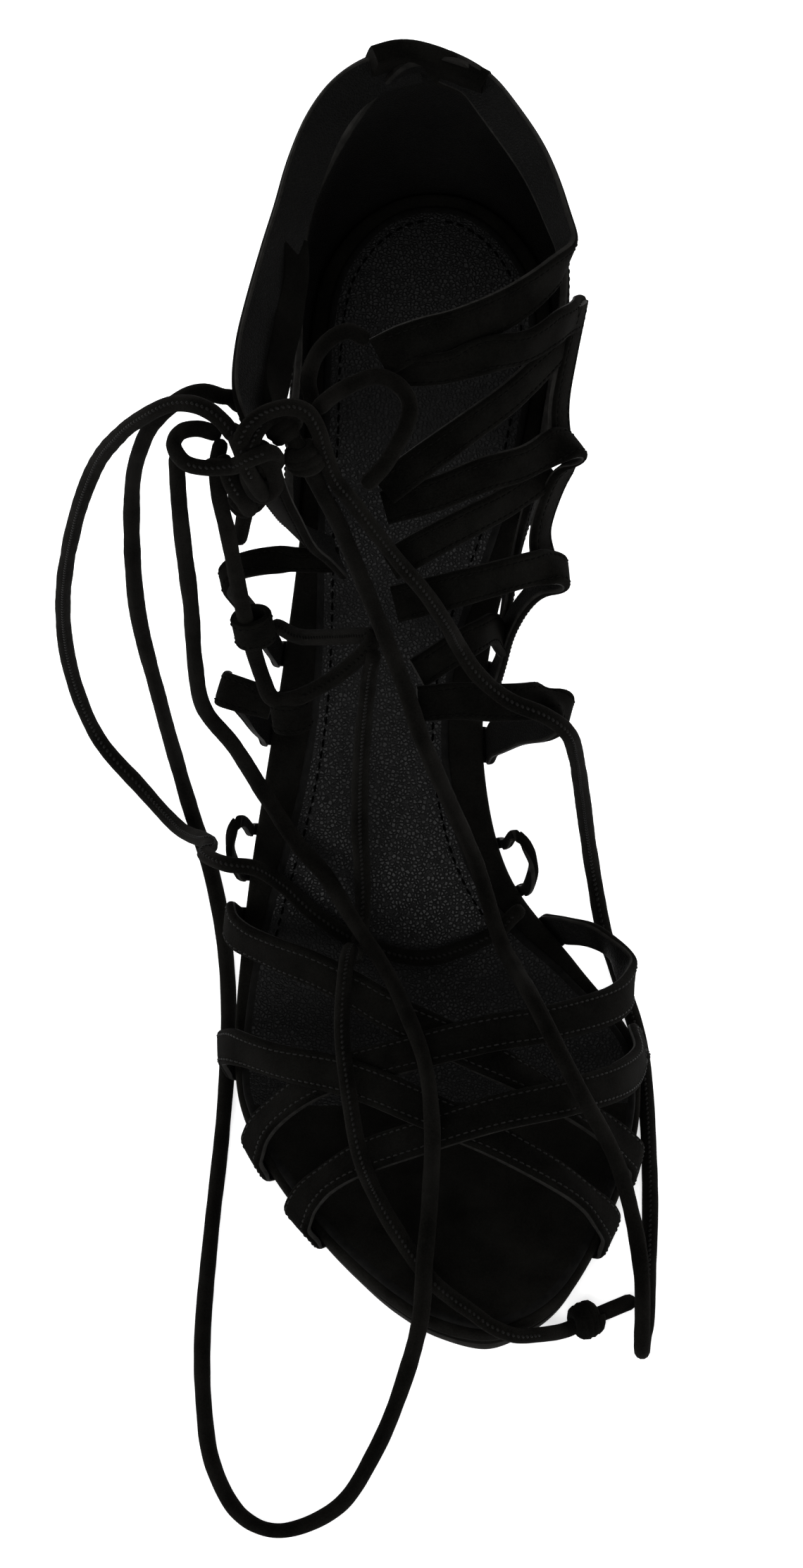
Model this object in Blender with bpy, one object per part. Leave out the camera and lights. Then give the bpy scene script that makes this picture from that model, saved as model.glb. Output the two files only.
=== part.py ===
"""Strappy lace-up sandal on a stiletto heel, right shoe, one object for each sub-part.

Shoe coordinates are in millimetres: side (medial is positive), back (level distance behind
the toe tip) and height above the floor.  Rise is height above the footbed, and depth is the
distance below it, square to its slope.
"""

import math

import bmesh
import bpy
import numpy as np

MM = 0.001

# Driving dimensions, millimetres.
SHOE_LENGTH = 212.0
BALL_WIDTH = 82.0
BALL_HEIGHT = 7.3
HEEL_RISE = 103.1
STRAP_WIDTH = 7.6
STRAP_THICK = 1.8
COLLAR_WIDTH = 8.6
LACE_DIAMETER = 3.3
LACE_SPACING = 3.0
EDGE_REACH = 12.0
GAP = 0.3

# The middle of the shoe's bounding box, which the frame's origin stands under.
MIDDLE_SIDE = -0.1
MIDDLE_BACK = 109.2

# Layers of the sole, as depths below the footbed.
SOCK_DEPTHS = (-1.1, -0.3)
INSOLE_DEPTHS = (0.0, 3.0)
MARGIN_DEPTHS = (3.3, 4.3)
OUTSOLE_DEPTHS = (4.6, BALL_HEIGHT)
MARGIN_MIDDLE = 3.8
OUTSOLE_INSET = 1.4

# Sections of the footbed: back is a share of the length, lateral and medial are shares of the
# ball width, and rise is a share of the heel rise.
SECTIONS = (
    # back, lateral, medial, rise
    (0.016, 0.122, 0.122, 0.026),
    (0.030, -0.002, 0.222, 0.022),
    (0.056, -0.098, 0.303, 0.016),
    (0.096, -0.200, 0.368, 0.007),
    (0.150, -0.312, 0.428, 0.000),
    (0.215, -0.416, 0.484, 0.000),
    (0.283, -0.482, 0.512, 0.000),
    (0.349, -0.494, 0.494, 0.016),
    (0.415, -0.482, 0.354, 0.070),
    (0.481, -0.457, 0.189, 0.172),
    (0.552, -0.415, 0.126, 0.327),
    (0.623, -0.372, 0.134, 0.492),
    (0.698, -0.335, 0.195, 0.657),
    (0.778, -0.313, 0.256, 0.802),
    (0.854, -0.305, 0.290, 0.899),
    (0.920, -0.274, 0.268, 0.952),
    (0.967, -0.195, 0.190, 0.982),
    (0.993, -0.098, 0.096, 0.996),
    (1.000, 0.000, 0.000, 1.000),
)

# The middle of the foot and leg, which every strap faces away from.
FOOT_AXIS = (
    # side, back, height
    (5.0, 5.0, 14.0),
    (2.0, 58.0, 18.0),
    (-4.0, 92.0, 33.0),
    (-6.0, 125.0, 68.0),
    (-5.0, 152.0, 102.0),
    (-4.0, 172.0, 130.0),
    (-4.0, 180.0, 175.0),
    (-4.0, 180.0, 230.0),
)

# Sections of the heel, from the seat down: down is a share of the way to the top piece, front
# and rear are backs in millimetres, and width is a share of the seat's width.
HEEL_SECTIONS = (
    # down, front, rear, width
    (0.00, 168.0, 211.3, 0.97),
    (0.10, 172.5, 211.0, 0.82),
    (0.22, 177.5, 209.8, 0.62),
    (0.36, 182.5, 208.0, 0.44),
    (0.52, 186.5, 206.2, 0.32),
    (0.70, 189.5, 204.4, 0.25),
    (0.86, 191.0, 203.0, 0.22),
    (1.00, 191.8, 202.2, 0.21),
)
TOP_PIECE_HEIGHT = 5.0

# The counter's top edge, from the lateral wing round the heel to the medial wing.
COUNTER_EDGE = (
    # side of the shoe (-1 lateral, 1 medial), back, rise
    (-1, 151.0, 6.0),
    (-1, 156.0, 22.0),
    (-1, 162.0, 29.0),
    (-1, 172.0, 28.0),
    (-1, 184.0, 26.0),
    (-1, 194.0, 25.0),
    (-1, 201.0, 28.6),
    (-1, 207.0, 38.0),
    (-1, 210.5, 47.5),
    (1, 212.0, 48.5),
    (1, 210.5, 47.5),
    (1, 207.0, 36.0),
    (1, 201.0, 28.6),
    (1, 194.0, 25.0),
    (1, 184.0, 23.4),
    (1, 172.0, 22.0),
    (1, 162.0, 17.5),
    (1, 156.0, 11.0),
    (1, 152.0, 4.0),
)
COUNTER_GAP = 0.6
COUNTER_THICK = 1.7
COUNTER_BULGE = 1.5
COUNTER_BULGE_HEIGHT = 42.0
COUNTER_LEAN = 0.0015

# The straps, which with the counter are the upper.  A row is a place on a strap's middle line,
# and turn rolls the strap about that line, in degrees.  Feet names the ends that turn under
# the insole.
STRAPS = {
    "toe_strap_1": dict(
        feet="both",
        rows=(
            # side, back, rise, turn
            (-42.0, 94.0, 3.5, 0),
            (-40.0, 88.0, 10.5, 0),
            (-31.5, 79.5, 20.0, 0),
            (-24.0, 74.0, 25.0, 0),
            (-16.0, 68.0, 28.0, 0),
            (-8.0, 62.0, 29.0, 0),
            (5.0, 55.0, 29.0, 0),
            (19.0, 49.0, 25.0, 0),
            (33.0, 45.0, 15.0, 0),
            (41.0, 44.0, 3.5, 0),
        ),
    ),
    "toe_strap_2": dict(
        feet="both",
        rows=(
            (-43.4, 69.5, 3.5, 0),
            (-40.0, 64.5, 12.0, 0),
            (-31.0, 56.0, 20.5, 0),
            (-16.0, 48.0, 27.0, 0),
            (-2.0, 40.0, 29.0, 0),
            (12.0, 34.0, 27.0, 0),
            (26.0, 30.0, 18.0, 0),
            (33.6, 28.0, 8.5, 0),
            (35.8, 28.0, 2.5, 0),
        ),
    ),
    "toe_strap_3": dict(
        feet="both",
        rows=(
            (-37.2, 46.0, 2.5, 0),
            (-34.0, 48.0, 11.0, 0),
            (-23.0, 51.0, 22.0, 0),
            (-7.0, 52.0, 29.5, 0),
            (10.0, 55.0, 33.0, 0),
            (24.0, 59.0, 31.0, 0),
            (37.0, 70.0, 20.0, 0),
            (39.8, 81.0, 9.5, 0),
            (35.0, 90.0, 3.5, 0),
            (28.8, 93.0, 1.0, 0),
        ),
    ),
    "toe_strap_4": dict(
        feet="both",
        rows=(
            (-28.0, 30.0, 2.5, 0),
            (-25.0, 32.0, 9.5, 0),
            (-16.0, 34.5, 18.0, 0),
            (-2.0, 35.0, 27.0, 0),
            (12.0, 37.5, 31.5, 0),
            (26.0, 42.0, 30.0, 0),
            (36.5, 51.0, 21.0, 0),
            (41.4, 62.0, 10.0, 0),
            (41.4, 72.0, 2.5, 0),
        ),
    ),
    "heel_tunnel": dict(
        width=12.0,
        thick=4.2,
        folds=False,
        rows=(
            (-12.8, 208.8, 47.6, 28),
            (-7.0, 211.0, 46.6, 28),
            (-0.5, 211.6, 43.6, 28),
            (5.5, 210.0, 42.0, 28),
            (10.5, 207.4, 42.0, 28),
        ),
    ),
    "collar_lateral": dict(
        width=COLLAR_WIDTH,
        rows=(
            (-3.0, 210.8, 45.0, 5),
            (-10.5, 209.2, 44.8, 20),
            (-17.2, 204.8, 44.8, 40),
            (-22.1, 197.6, 45.6, 48),
            (-25.7, 187.6, 48.1, 50),
            (-28.4, 176.6, 53.0, 50),
            (-31.3, 165.0, 61.0, 50),
            (-33.9, 153.0, 71.5, 54),
            (-35.8, 142.0, 82.5, 58),
            (-36.4, 132.0, 93.0, 58),
            (-35.4, 121.5, 104.0, 52),
        ),
    ),
    "collar_facing": dict(
        width=6.8,
        rows=(
            (-28.0, 172.0, 54.2, 50),
            (-27.6, 165.0, 58.0, 50),
            (-28.4, 158.0, 62.8, 52),
            (-29.4, 151.0, 69.4, 54),
            (-30.6, 144.0, 76.2, 56),
            (-31.4, 137.0, 83.6, 58),
            (-31.8, 131.0, 89.8, 58),
        ),
    ),
    "collar_medial": dict(
        width=8.4,
        rows=(
            (2.0, 210.6, 44.5, 0),
            (8.0, 207.6, 44.0, -10),
            (14.2, 199.8, 44.0, -20),
            (20.0, 189.8, 46.0, -25),
            (24.0, 177.2, 52.5, -22),
            (26.0, 166.8, 60.0, -10),
            (22.0, 158.6, 69.0, 5),
            (14.0, 150.6, 77.5, 20),
            (4.0, 144.6, 84.5, 25),
            (-4.0, 142.2, 87.0, 25),
            (-11.0, 139.4, 88.0, 25),
        ),
    ),
    "instep_strap_1": dict(
        width=7.2,
        rows=(
            (-9.0, 139.6, 83.0, -10),
            (2.0, 139.0, 85.5, -10),
            (10.0, 141.0, 85.0, -10),
            (18.0, 145.0, 78.0, -10),
            (24.0, 151.5, 69.0, 0),
            (27.3, 158.0, 58.0, 0),
            (28.3, 161.0, 52.5, 0),
        ),
    ),
    "instep_link": dict(
        width=6.4,
        rows=(
            (28.6, 160.5, 57.0, 0),
            (26.0, 153.5, 53.5, 0),
            (24.5, 147.0, 51.5, 0),
            (25.5, 139.5, 53.0, 0),
        ),
    ),
    "instep_strap_2": dict(
        width=6.6,
        rows=(
            (26.5, 156.5, 54.0, 0),
            (20.5, 147.5, 64.5, 0),
            (14.0, 139.0, 75.0, 0),
            (6.0, 132.0, 82.5, 0),
            (-3.0, 126.0, 86.5, 0),
            (-10.0, 123.0, 85.0, 0),
        ),
    ),
    "rung_1": dict(
        width=7.2,
        rows=(
            (22.5, 128.0, 43.5, 0),
            (21.0, 132.5, 45.5, 0),
            (23.8, 137.0, 50.5, 0),
            (28.0, 140.5, 54.5, 0),
            (26.0, 139.5, 59.5, 0),
            (22.0, 137.0, 62.8, 0),
            (17.0, 132.5, 69.5, 0),
            (9.0, 128.0, 77.0, 0),
            (0.0, 124.0, 81.0, 0),
            (-10.0, 122.0, 81.5, 0),
        ),
    ),
    "instep_strap_3": dict(
        feet="start",
        width=6.6,
        rows=(
            (13.9, 136.5, 3.5, 0),
            (15.0, 136.5, 16.0, 0),
            (17.0, 138.0, 29.0, 0),
            (20.0, 140.0, 42.0, 0),
            (22.5, 139.5, 50.0, 0),
            (19.5, 135.5, 55.5, 0),
            (14.0, 129.5, 64.0, 0),
            (7.0, 123.5, 73.0, 0),
            (-1.0, 118.5, 78.5, 0),
            (-9.0, 115.0, 79.5, 0),
        ),
    ),
    "rung_2": dict(
        feet="start",
        width=7.4,
        rows=(
            (12.9, 129.5, 4.0, 0),
            (15.2, 129.5, 20.0, 0),
            (20.0, 128.3, 36.0, 0),
            (25.8, 127.3, 44.5, 0),
            (24.0, 126.0, 50.8, 0),
            (19.5, 123.5, 56.5, 0),
            (11.0, 118.5, 65.5, 0),
            (3.0, 114.5, 72.0, 0),
            (-8.0, 112.5, 72.5, 0),
        ),
    ),
    "instep_strap_4": dict(
        width=6.6,
        rows=(
            (13.8, 128.8, 17.0, 0),
            (11.8, 125.5, 30.0, 0),
            (9.0, 120.0, 42.0, 0),
            (4.0, 115.0, 50.0, 0),
            (-3.5, 110.0, 54.5, 0),
        ),
    ),
    "rung_3": dict(
        feet="start",
        width=7.6,
        rows=(
            (12.2, 120.3, 4.0, 0),
            (17.5, 116.6, 18.0, 0),
            (23.0, 112.2, 31.0, 0),
            (26.2, 110.2, 38.5, 0),
            (26.2, 109.4, 43.5, 0),
            (23.0, 109.3, 47.0, 0),
            (17.5, 107.6, 50.5, 0),
            (11.0, 105.6, 55.3, 0),
            (5.0, 104.0, 60.0, 0),
            (-3.5, 102.5, 62.5, 0),
        ),
    ),
    "side_strap": dict(
        width=9.0,
        rows=(
            (-34.0, 118.5, 105.0, 0),
            (-32.2, 120.0, 93.0, 0),
            (-29.8, 122.5, 79.0, 0),
            (-27.0, 126.0, 62.5, 0),
            (-23.5, 130.0, 48.0, 0),
            (-19.5, 134.0, 33.0, 0),
        ),
    ),
    "side_rung_1": dict(
        feet="start",
        width=5.4,
        rows=(
            (-32.3, 133.0, 3.5, 0),
            (-35.0, 132.5, 12.0, 0),
            (-38.2, 131.8, 22.0, 0),
            (-41.2, 131.0, 30.5, 0),
            (-42.0, 130.5, 35.0, 0),
            (-39.5, 130.8, 38.2, 0),
            (-33.0, 132.0, 37.6, 0),
            (-26.0, 133.0, 35.0, 0),
            (-19.5, 134.0, 32.5, 0),
        ),
    ),
    "side_rung_2": dict(
        feet="start",
        width=7.0,
        rows=(
            (-34.5, 122.5, 3.5, 0),
            (-37.5, 119.5, 17.0, 0),
            (-41.3, 117.0, 30.5, 0),
            (-42.4, 114.0, 38.5, 0),
            (-38.5, 111.4, 43.0, 0),
            (-32.5, 109.5, 44.5, 0),
        ),
    ),
    "front_loop_lateral": dict(
        feet="both",
        width=2.4,
        rows=(
            (-37.6, 108.4, 1.5, 0),
            (-39.2, 108.2, 5.5, 0),
            (-41.0, 106.3, 7.6, 0),
            (-41.4, 103.6, 5.5, 0),
            (-39.8, 101.8, 1.5, 0),
        ),
    ),
    "front_loop_medial": dict(
        feet="both",
        width=2.4,
        rows=(
            (15.2, 106.4, 1.5, 0),
            (16.6, 105.8, 6.5, 0),
            (19.0, 103.4, 8.5, 0),
            (20.4, 100.8, 6.0, 0),
            (19.2, 99.4, 1.5, 0),
        ),
    ),
}

# The laced part of the lace: from the lateral edge to the throat, back to the lower rung's
# loop, and up the side to the knot.
LACE_CROSSINGS = (
    # side, back, height
    (-31.4, 131.6, 72.5),
    (-27.0, 126.8, 76.0),
    (-20.0, 120.0, 86.0),
    (-14.5, 113.5, 96.0),
    (-12.0, 110.8, 99.5),
    (-14.5, 108.2, 97.0),
    (-21.0, 106.0, 91.0),
    (-28.0, 104.5, 87.0),
    (-32.3, 105.0, 86.5),
    (-34.3, 107.0, 91.5),
    (-36.2, 108.3, 101.0),
    (-37.6, 109.5, 110.0),
    (-39.0, 111.0, 121.0),
    (-40.6, 112.8, 134.0),
    (-41.9, 115.0, 141.0),
    (-42.4, 118.5, 145.5),
    (-42.2, 120.2, 148.0),
    (-41.8, 121.2, 149.9),
)

# The lace's free stretches, from the knot at the lateral side of the ankle, in the order in
# which they leave it.
FREE_LACE = {
    "lace_loop_lateral": (
        # side, back, height
        (-38.4, 131.6, 149.6),
        (-39.8, 131.9, 151.4),
        (-41.5, 131.4, 152.5),
        (-45.2, 132.5, 152.5),
        (-49.2, 132.4, 150.5),
        (-53.4, 132.0, 145.5),
        (-57.2, 133.0, 135.0),
        (-60.0, 136.5, 112.0),
        (-60.0, 136.0, 74.0),
        (-56.0, 136.0, 38.0),
        (-53.0, 134.5, 18.0),
        (-50.0, 130.0, 5.0),
        (-46.0, 118.0, 1.8),
        (-43.0, 100.0, 1.8),
        (-42.0, 80.0, 1.8),
        (-43.0, 56.0, 1.8),
        (-45.0, 32.0, 1.8),
        (-46.5, 8.0, 1.8),
        (-46.0, -9.0, 1.8),
        (-44.0, -22.0, 1.8),
        (-38.5, -33.0, 1.8),
        (-30.0, -36.5, 1.8),
        (-19.0, -31.0, 1.8),
        (-12.0, -19.0, 1.8),
        (-7.0, -6.0, 2.5),
        (-3.0, 3.0, 15.0),
        (-2.0, 15.0, 19.0),
        (-1.0, 24.5, 25.0),
        (-0.5, 32.5, 41.5),
        (-2.0, 47.0, 42.5),
        (-6.0, 58.5, 44.5),
        (-10.0, 69.0, 43.0),
        (-16.0, 84.0, 36.0),
        (-22.0, 96.0, 35.0),
        (-27.5, 102.0, 37.0),
        (-34.0, 105.5, 50.0),
        (-40.0, 105.5, 68.0),
        (-46.0, 107.0, 80.0),
        (-47.5, 108.0, 95.0),
        (-48.0, 110.0, 112.0),
        (-49.0, 111.5, 128.0),
        (-49.6, 113.5, 137.0),
        (-50.0, 116.5, 143.5),
        (-50.2, 120.0, 147.5),
    ),
    "lace_end_lateral": (
        (-39.3, 119.4, 157.0),
        (-41.2, 120.9, 159.0),
        (-44.0, 123.2, 159.5),
        (-47.6, 125.4, 158.5),
        (-51.8, 127.2, 155.5),
        (-56.5, 128.8, 149.5),
        (-61.5, 132.0, 139.0),
        (-67.0, 137.0, 121.0),
        (-72.0, 141.0, 95.0),
        (-75.5, 147.0, 60.0),
        (-75.0, 150.0, 30.0),
        (-70.0, 147.0, 9.0),
        (-61.0, 139.0, 1.8),
        (-52.5, 125.0, 7.5),
        (-46.0, 111.0, 24.0),
        (-46.4, 102.0, 33.5),
        (-42.0, 96.8, 38.0),
        (-36.0, 97.0, 36.0),
        (-30.5, 97.0, 29.5),
        (-24.0, 93.5, 24.0),
        (-15.0, 89.5, 20.0),
        (-2.0, 86.5, 18.5),
        (11.0, 90.0, 21.0),
        (17.0, 93.5, 25.0),
    ),
    "lace_end_medial": (
        (-12.2, 107.2, 98.0),
        (-13.2, 106.2, 90.0),
        (-14.5, 104.0, 70.0),
        (-15.0, 100.0, 50.0),
        (-14.5, 95.0, 35.0),
        (-14.5, 91.0, 28.4),
        (-15.0, 86.8, 25.3),
        (-15.6, 82.4, 26.4),
        (-16.4, 78.6, 32.8),
        (-17.2, 74.6, 39.8),
        (-18.0, 66.0, 43.5),
        (-18.5, 55.0, 42.0),
        (-17.5, 45.0, 39.5),
        (-15.0, 31.0, 34.5),
        (-11.0, 27.5, 21.0),
        (-5.0, 20.0, 14.2),
        (-0.4, 13.4, 13.8),
        (3.4, 9.6, 13.8),
        (7.5, 6.2, 13.9),
        (11.4, 3.2, 13.5),
        (16.2, 2.4, 11.2),
        (21.6, 5.4, 6.4),
        (26.4, 8.8, 2.2),
        (30.6, 11.4, 1.8),
        (34.8, 13.4, 1.8),
        (39.0, 15.4, 1.8),
    ),
    "lace_loop_medial": (
        (-30.9, 124.6, 154.5),
        (-29.1, 122.6, 154.3),
        (-26.8, 119.9, 152.5),
        (-24.4, 117.2, 148.2),
        (-21.9, 115.5, 142.0),
        (-19.0, 113.8, 135.0),
        (-15.0, 111.2, 122.0),
        (-10.0, 107.0, 106.0),
        (-6.0, 102.8, 94.0),
        (-2.5, 95.5, 86.0),
        (3.2, 94.5, 64.0),
        (8.5, 94.5, 42.0),
        (13.3, 86.5, 26.5),
        (16.5, 73.5, 35.0),
        (19.8, 58.0, 48.0),
        (28.3, 42.0, 42.0),
        (36.0, 32.5, 30.0),
        (39.8, 24.6, 18.6),
        (41.4, 15.2, 13.8),
        (41.5, 7.4, 12.8),
        (41.4, 3.2, 11.0),
        (41.4, 1.6, 7.3),
        (41.6, 3.4, 3.5),
        (42.0, 7.6, 1.8),
        (42.8, 14.0, 1.8),
        (43.8, 40.0, 1.7),
        (43.3, 64.0, 1.7),
        (42.0, 77.5, 1.8),
        (38.8, 90.0, 2.2),
        (35.2, 102.5, 3.6),
        (33.2, 110.5, 10.5),
        (31.6, 112.2, 24.0),
        (30.0, 109.5, 45.0),
        (28.3, 104.5, 67.0),
        (26.4, 102.2, 78.4),
        (22.0, 102.4, 84.0),
        (14.6, 104.2, 87.0),
        (8.5, 106.4, 92.8),
        (4.7, 109.5, 98.3),
        (2.3, 108.3, 107.6),
        (-2.0, 109.5, 117.0),
        (-7.0, 111.8, 124.0),
        (-12.1, 113.5, 133.0),
        (-16.2, 115.6, 139.5),
        (-19.5, 116.9, 145.0),
        (-21.4, 118.8, 151.0),
        (-22.6, 120.6, 156.0),
        (-24.6, 122.2, 159.6),
        (-27.4, 122.6, 161.2),
        (-30.6, 121.8, 161.8),
        (-33.8, 120.2, 161.8),
        (-36.4, 117.8, 161.0),
        (-37.9, 115.4, 158.8),
    ),
    "lace_bow": (
        (-33.4, 117.6, 151.5),
        (-36.6, 115.0, 153.6),
        (-40.2, 113.0, 155.0),
        (-44.6, 112.3, 155.6),
        (-48.4, 113.6, 155.6),
        (-50.6, 118.2, 154.6),
        (-49.4, 122.8, 152.6),
        (-46.2, 124.8, 151.0),
        (-43.0, 124.6, 150.0),
    ),
    "lace_arc_high": (
        (-23.8, 128.9, 153.2),
        (-24.7, 134.1, 154.0),
        (-23.3, 140.3, 153.5),
        (-20.4, 144.8, 153.0),
        (-17.1, 146.6, 153.0),
        (-14.2, 145.4, 152.6),
    ),
    "lace_arc_low": (
        (-22.4, 126.2, 156.4),
        (-19.4, 129.7, 155.8),
        (-15.2, 133.0, 155.0),
        (-11.4, 135.1, 154.0),
        (-8.0, 134.0, 153.5),
        (-5.6, 131.2, 153.0),
        (-5.0, 128.0, 152.6),
        (-5.8, 124.8, 151.5),
        (-7.6, 121.9, 149.5),
        (-9.8, 119.2, 147.0),
        (-12.9, 117.2, 144.0),
    ),
    "lace_strand": (
        (-36.3, 117.9, 140.0),
        (-37.2, 117.1, 133.0),
        (-38.2, 116.6, 126.0),
    ),
}


def smooth(rows, steps, before=None, after=None):
    """A Catmull-Rom curve through the rows, with that many steps between two rows."""
    rows = np.asarray(rows, float)
    before = 2 * rows[0] - rows[1] if before is None else before
    after = 2 * rows[-1] - rows[-2] if after is None else after
    padded = np.vstack([before, rows, after])
    made = []
    for i in range(len(rows) - 1):
        a, b, c, d = padded[i : i + 4]
        for t in np.arange(steps) / steps:
            cubic = (3 * b - a - 3 * c + d) * t**3
            square = (2 * a - 5 * b + 4 * c - d) * t**2
            made.append(b + 0.5 * ((c - a) * t + square + cubic))
    made.append(rows[-1])
    return np.array(made)


def unit(vector):
    return vector / max(np.linalg.norm(vector), 1e-9)


def section_rows(steps):
    """The footbed's sections in millimetres: back, lateral edge, medial edge and height."""
    scale = (SHOE_LENGTH, BALL_WIDTH, BALL_WIDTH, HEEL_RISE)
    rows = np.array(SECTIONS) * scale
    swapped = [0, 2, 1, 3]
    rows = smooth(rows, steps, before=rows[1][swapped], after=rows[-2][swapped])
    rows[:, 3] = BALL_HEIGHT + np.maximum(rows[:, 3], 0.0)
    return rows


FINE = section_rows(16)


def footbed(back):
    return float(np.interp(back, FINE[:, 0], FINE[:, 3]))


def slope(back):
    """The footbed's angle above the level."""
    reach = 1.5
    low, high = max(back - reach, 0.0), min(back + reach, SHOE_LENGTH)
    return math.atan2(footbed(high) - footbed(low), high - low)


def below(side, back, depth):
    """The point at a depth square to the footbed."""
    angle = slope(back)
    return np.array(
        [side, back + depth * math.sin(angle), footbed(back) - depth * math.cos(angle)]
    )


def outline(inset, steps=4):
    """The footbed's closed outline, moved inwards by inset(back), from the toe tip along the
    medial side to the heel and back along the lateral side."""
    rows = section_rows(steps)
    medial, lateral = rows[:, [2, 0]], rows[:, [1, 0]]
    loop = np.vstack([medial, lateral[-2:0:-1]])
    along = np.roll(loop, -1, axis=0) - np.roll(loop, 1, axis=0)
    along /= np.linalg.norm(along, axis=1)[:, None]
    outward = np.stack([along[:, 1], -along[:, 0]], axis=1)
    moved = np.array([inset(back) for back in loop[:, 1]])
    return loop - outward * moved[:, None]


EDGE = outline(lambda back: 0.0, 16)


def material(name, colour, roughness):
    made = bpy.data.materials.new(name)
    made.use_nodes = True
    shader = made.node_tree.nodes["Principled BSDF"]
    shader.inputs["Base Color"].default_value = (*colour, 1.0)
    shader.inputs["Roughness"].default_value = roughness
    return made


def mesh_object(name, points, faces, finish, guide=False):
    """An object from points in shoe coordinates, placed in the frame."""
    placed = (np.array(points) - (MIDDLE_SIDE, MIDDLE_BACK, 0.0)) * MM
    mesh = bpy.data.meshes.new(name)
    mesh.from_pydata([tuple(p) for p in placed], [], [tuple(f) for f in faces])
    shaped = bmesh.new()
    shaped.from_mesh(mesh)
    bmesh.ops.recalc_face_normals(shaped, faces=shaped.faces)
    shaped.to_mesh(mesh)
    shaped.free()
    mesh.materials.append(finish)
    mesh.shade_smooth()
    mesh.set_sharp_from_angle(angle=math.radians(35))
    made = bpy.data.objects.new(name, mesh)
    bpy.context.scene.collection.objects.link(made)
    if guide:
        made.hide_render = True
        made.display_type = "WIRE"
    return made


def ladder(loop, top, bottom):
    """A plate with this outline, between two depths."""
    count = len(loop)
    half = count // 2
    points = [below(*p, top) for p in loop] + [below(*p, bottom) for p in loop]
    faces = []
    for i in range(count):
        j = (i + 1) % count
        faces.append((i, i + count, j + count, j))
    for i in range(half):
        across = [i, i + 1, (count - i - 1) % count, (count - i) % count]
        across = list(dict.fromkeys(across))
        faces.append(across)
        faces.append([corner + count for corner in reversed(across)])
    return points, faces


def tube(rings):
    """A closed body through rings of points, capped at both ends."""
    size = len(rings[0])
    points = [p for ring in rings for p in ring]
    faces = []
    for r in range(len(rings) - 1):
        for i in range(size):
            j = (i + 1) % size
            a, b = r * size, (r + 1) * size
            faces.append((a + i, a + j, b + j, b + i))
    faces.append(tuple(range(size - 1, -1, -1)))
    faces.append(tuple((len(rings) - 1) * size + i for i in range(size)))
    return points, faces


def waist_share(back, start, end):
    """1 in the middle of the waist and 0 outside it."""
    share = (back - start) / (end - start)
    return math.sin(math.pi * share) ** 2 if 0.0 < share < 1.0 else 0.0


def make_outsole(finish):
    loop = outline(lambda back: OUTSOLE_INSET + 2.2 * waist_share(back, 80.0, 168.0))
    return mesh_object("outsole", *ladder(loop, *OUTSOLE_DEPTHS), finish)


def make_insole(finish):
    return mesh_object("insole", *ladder(outline(lambda back: 0.0), *INSOLE_DEPTHS), finish)


def sock_inset(back):
    toe = min(max((back - 60.0) / 35.0, 0.0), 1.0)
    return 1.0 + 2.0 * toe + 4.0 * waist_share(back, 84.0, 160.0)


def make_sock(finish):
    loop = outline(sock_inset)
    return mesh_object("sock", *ladder(loop, *SOCK_DEPTHS), finish)


def seat_ring(down, front, rear, width, steps=9):
    """One section of the heel: its breast is straight, and its rear is round."""
    lateral, medial = [], []
    for i in range(steps + 1):
        share = i / steps
        along = 1 - (1 - share) ** 1.5
        seat_back = 168.0 + along * (211.3 - 168.0)
        seat = [np.interp(seat_back, FINE[:, 0], FINE[:, k]) for k in (1, 2)]
        back = front + along * (rear - front)
        lateral.append((seat[0] * width, back))
        medial.append((seat[1] * width, back))
    return lateral + medial[::-1]


def make_heel(finish):
    rings = []
    floor = TOP_PIECE_HEIGHT + GAP
    for down, front, rear, width in smooth(HEEL_SECTIONS, 2):
        ring = []
        for side, back in seat_ring(down, front, rear, width):
            seat = below(side, back, OUTSOLE_DEPTHS[1] + GAP)
            height = seat[2] + (floor - seat[2]) * down
            ring.append((side, back + (seat[1] - back) * (1 - down), height))
        rings.append(ring)
    size = len(rings[0])
    points, faces = tube(rings)
    faces = faces[:-2]
    for i in range(size // 2 - 1):
        top = (i, i + 1, size - 2 - i, size - 1 - i)
        faces.append(top)
        last = (len(rings) - 1) * size
        faces.append(tuple(last + k for k in reversed(top)))
    return mesh_object("heel", points, faces, finish)


def make_heel_tip(finish):
    last = HEEL_SECTIONS[-1]
    rings = []
    for height in (0.0, TOP_PIECE_HEIGHT):
        ring = seat_ring(1.0, last[1] - GAP, last[2] + GAP, last[3] * 1.05)
        rings.append([(side, back, height) for side, back in reversed(ring)])
    return mesh_object("heel_tip", *tube(rings[::-1]), finish)


def facing(point):
    """The direction from the nearest place on the foot's axis to the point."""
    axis = np.array(FOOT_AXIS)
    best = None
    for a, b in zip(axis[:-1], axis[1:]):
        share = np.clip(np.dot(point - a, b - a) / np.dot(b - a, b - a), 0.0, 1.0)
        near = a + share * (b - a)
        if best is None or np.linalg.norm(point - near) < np.linalg.norm(point - best):
            best = near
    return unit(point - best)


def edge_frame(medial, back):
    """The insole's edge at a back: its place, its outward direction and its normal."""
    half = len(FINE) - 1
    along = float(np.interp(back, FINE[:, 0], np.arange(half + 1)))
    key = along if medial else 2 * half - along
    indices = np.arange(len(EDGE) + 1)
    closed = np.vstack([EDGE, EDGE[:1]])
    at = [
        [np.interp((key + step) % len(EDGE), indices, closed[:, k]) for k in (0, 1)]
        for step in (-6, 0, 6)
    ]
    angle = slope(back)
    normal = np.array([0.0, -math.sin(angle), math.cos(angle)])
    tangent = below(*at[2], 0.0) - below(*at[0], 0.0)
    return below(*at[1], 0.0), unit(np.cross(tangent, normal)), normal


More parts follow.
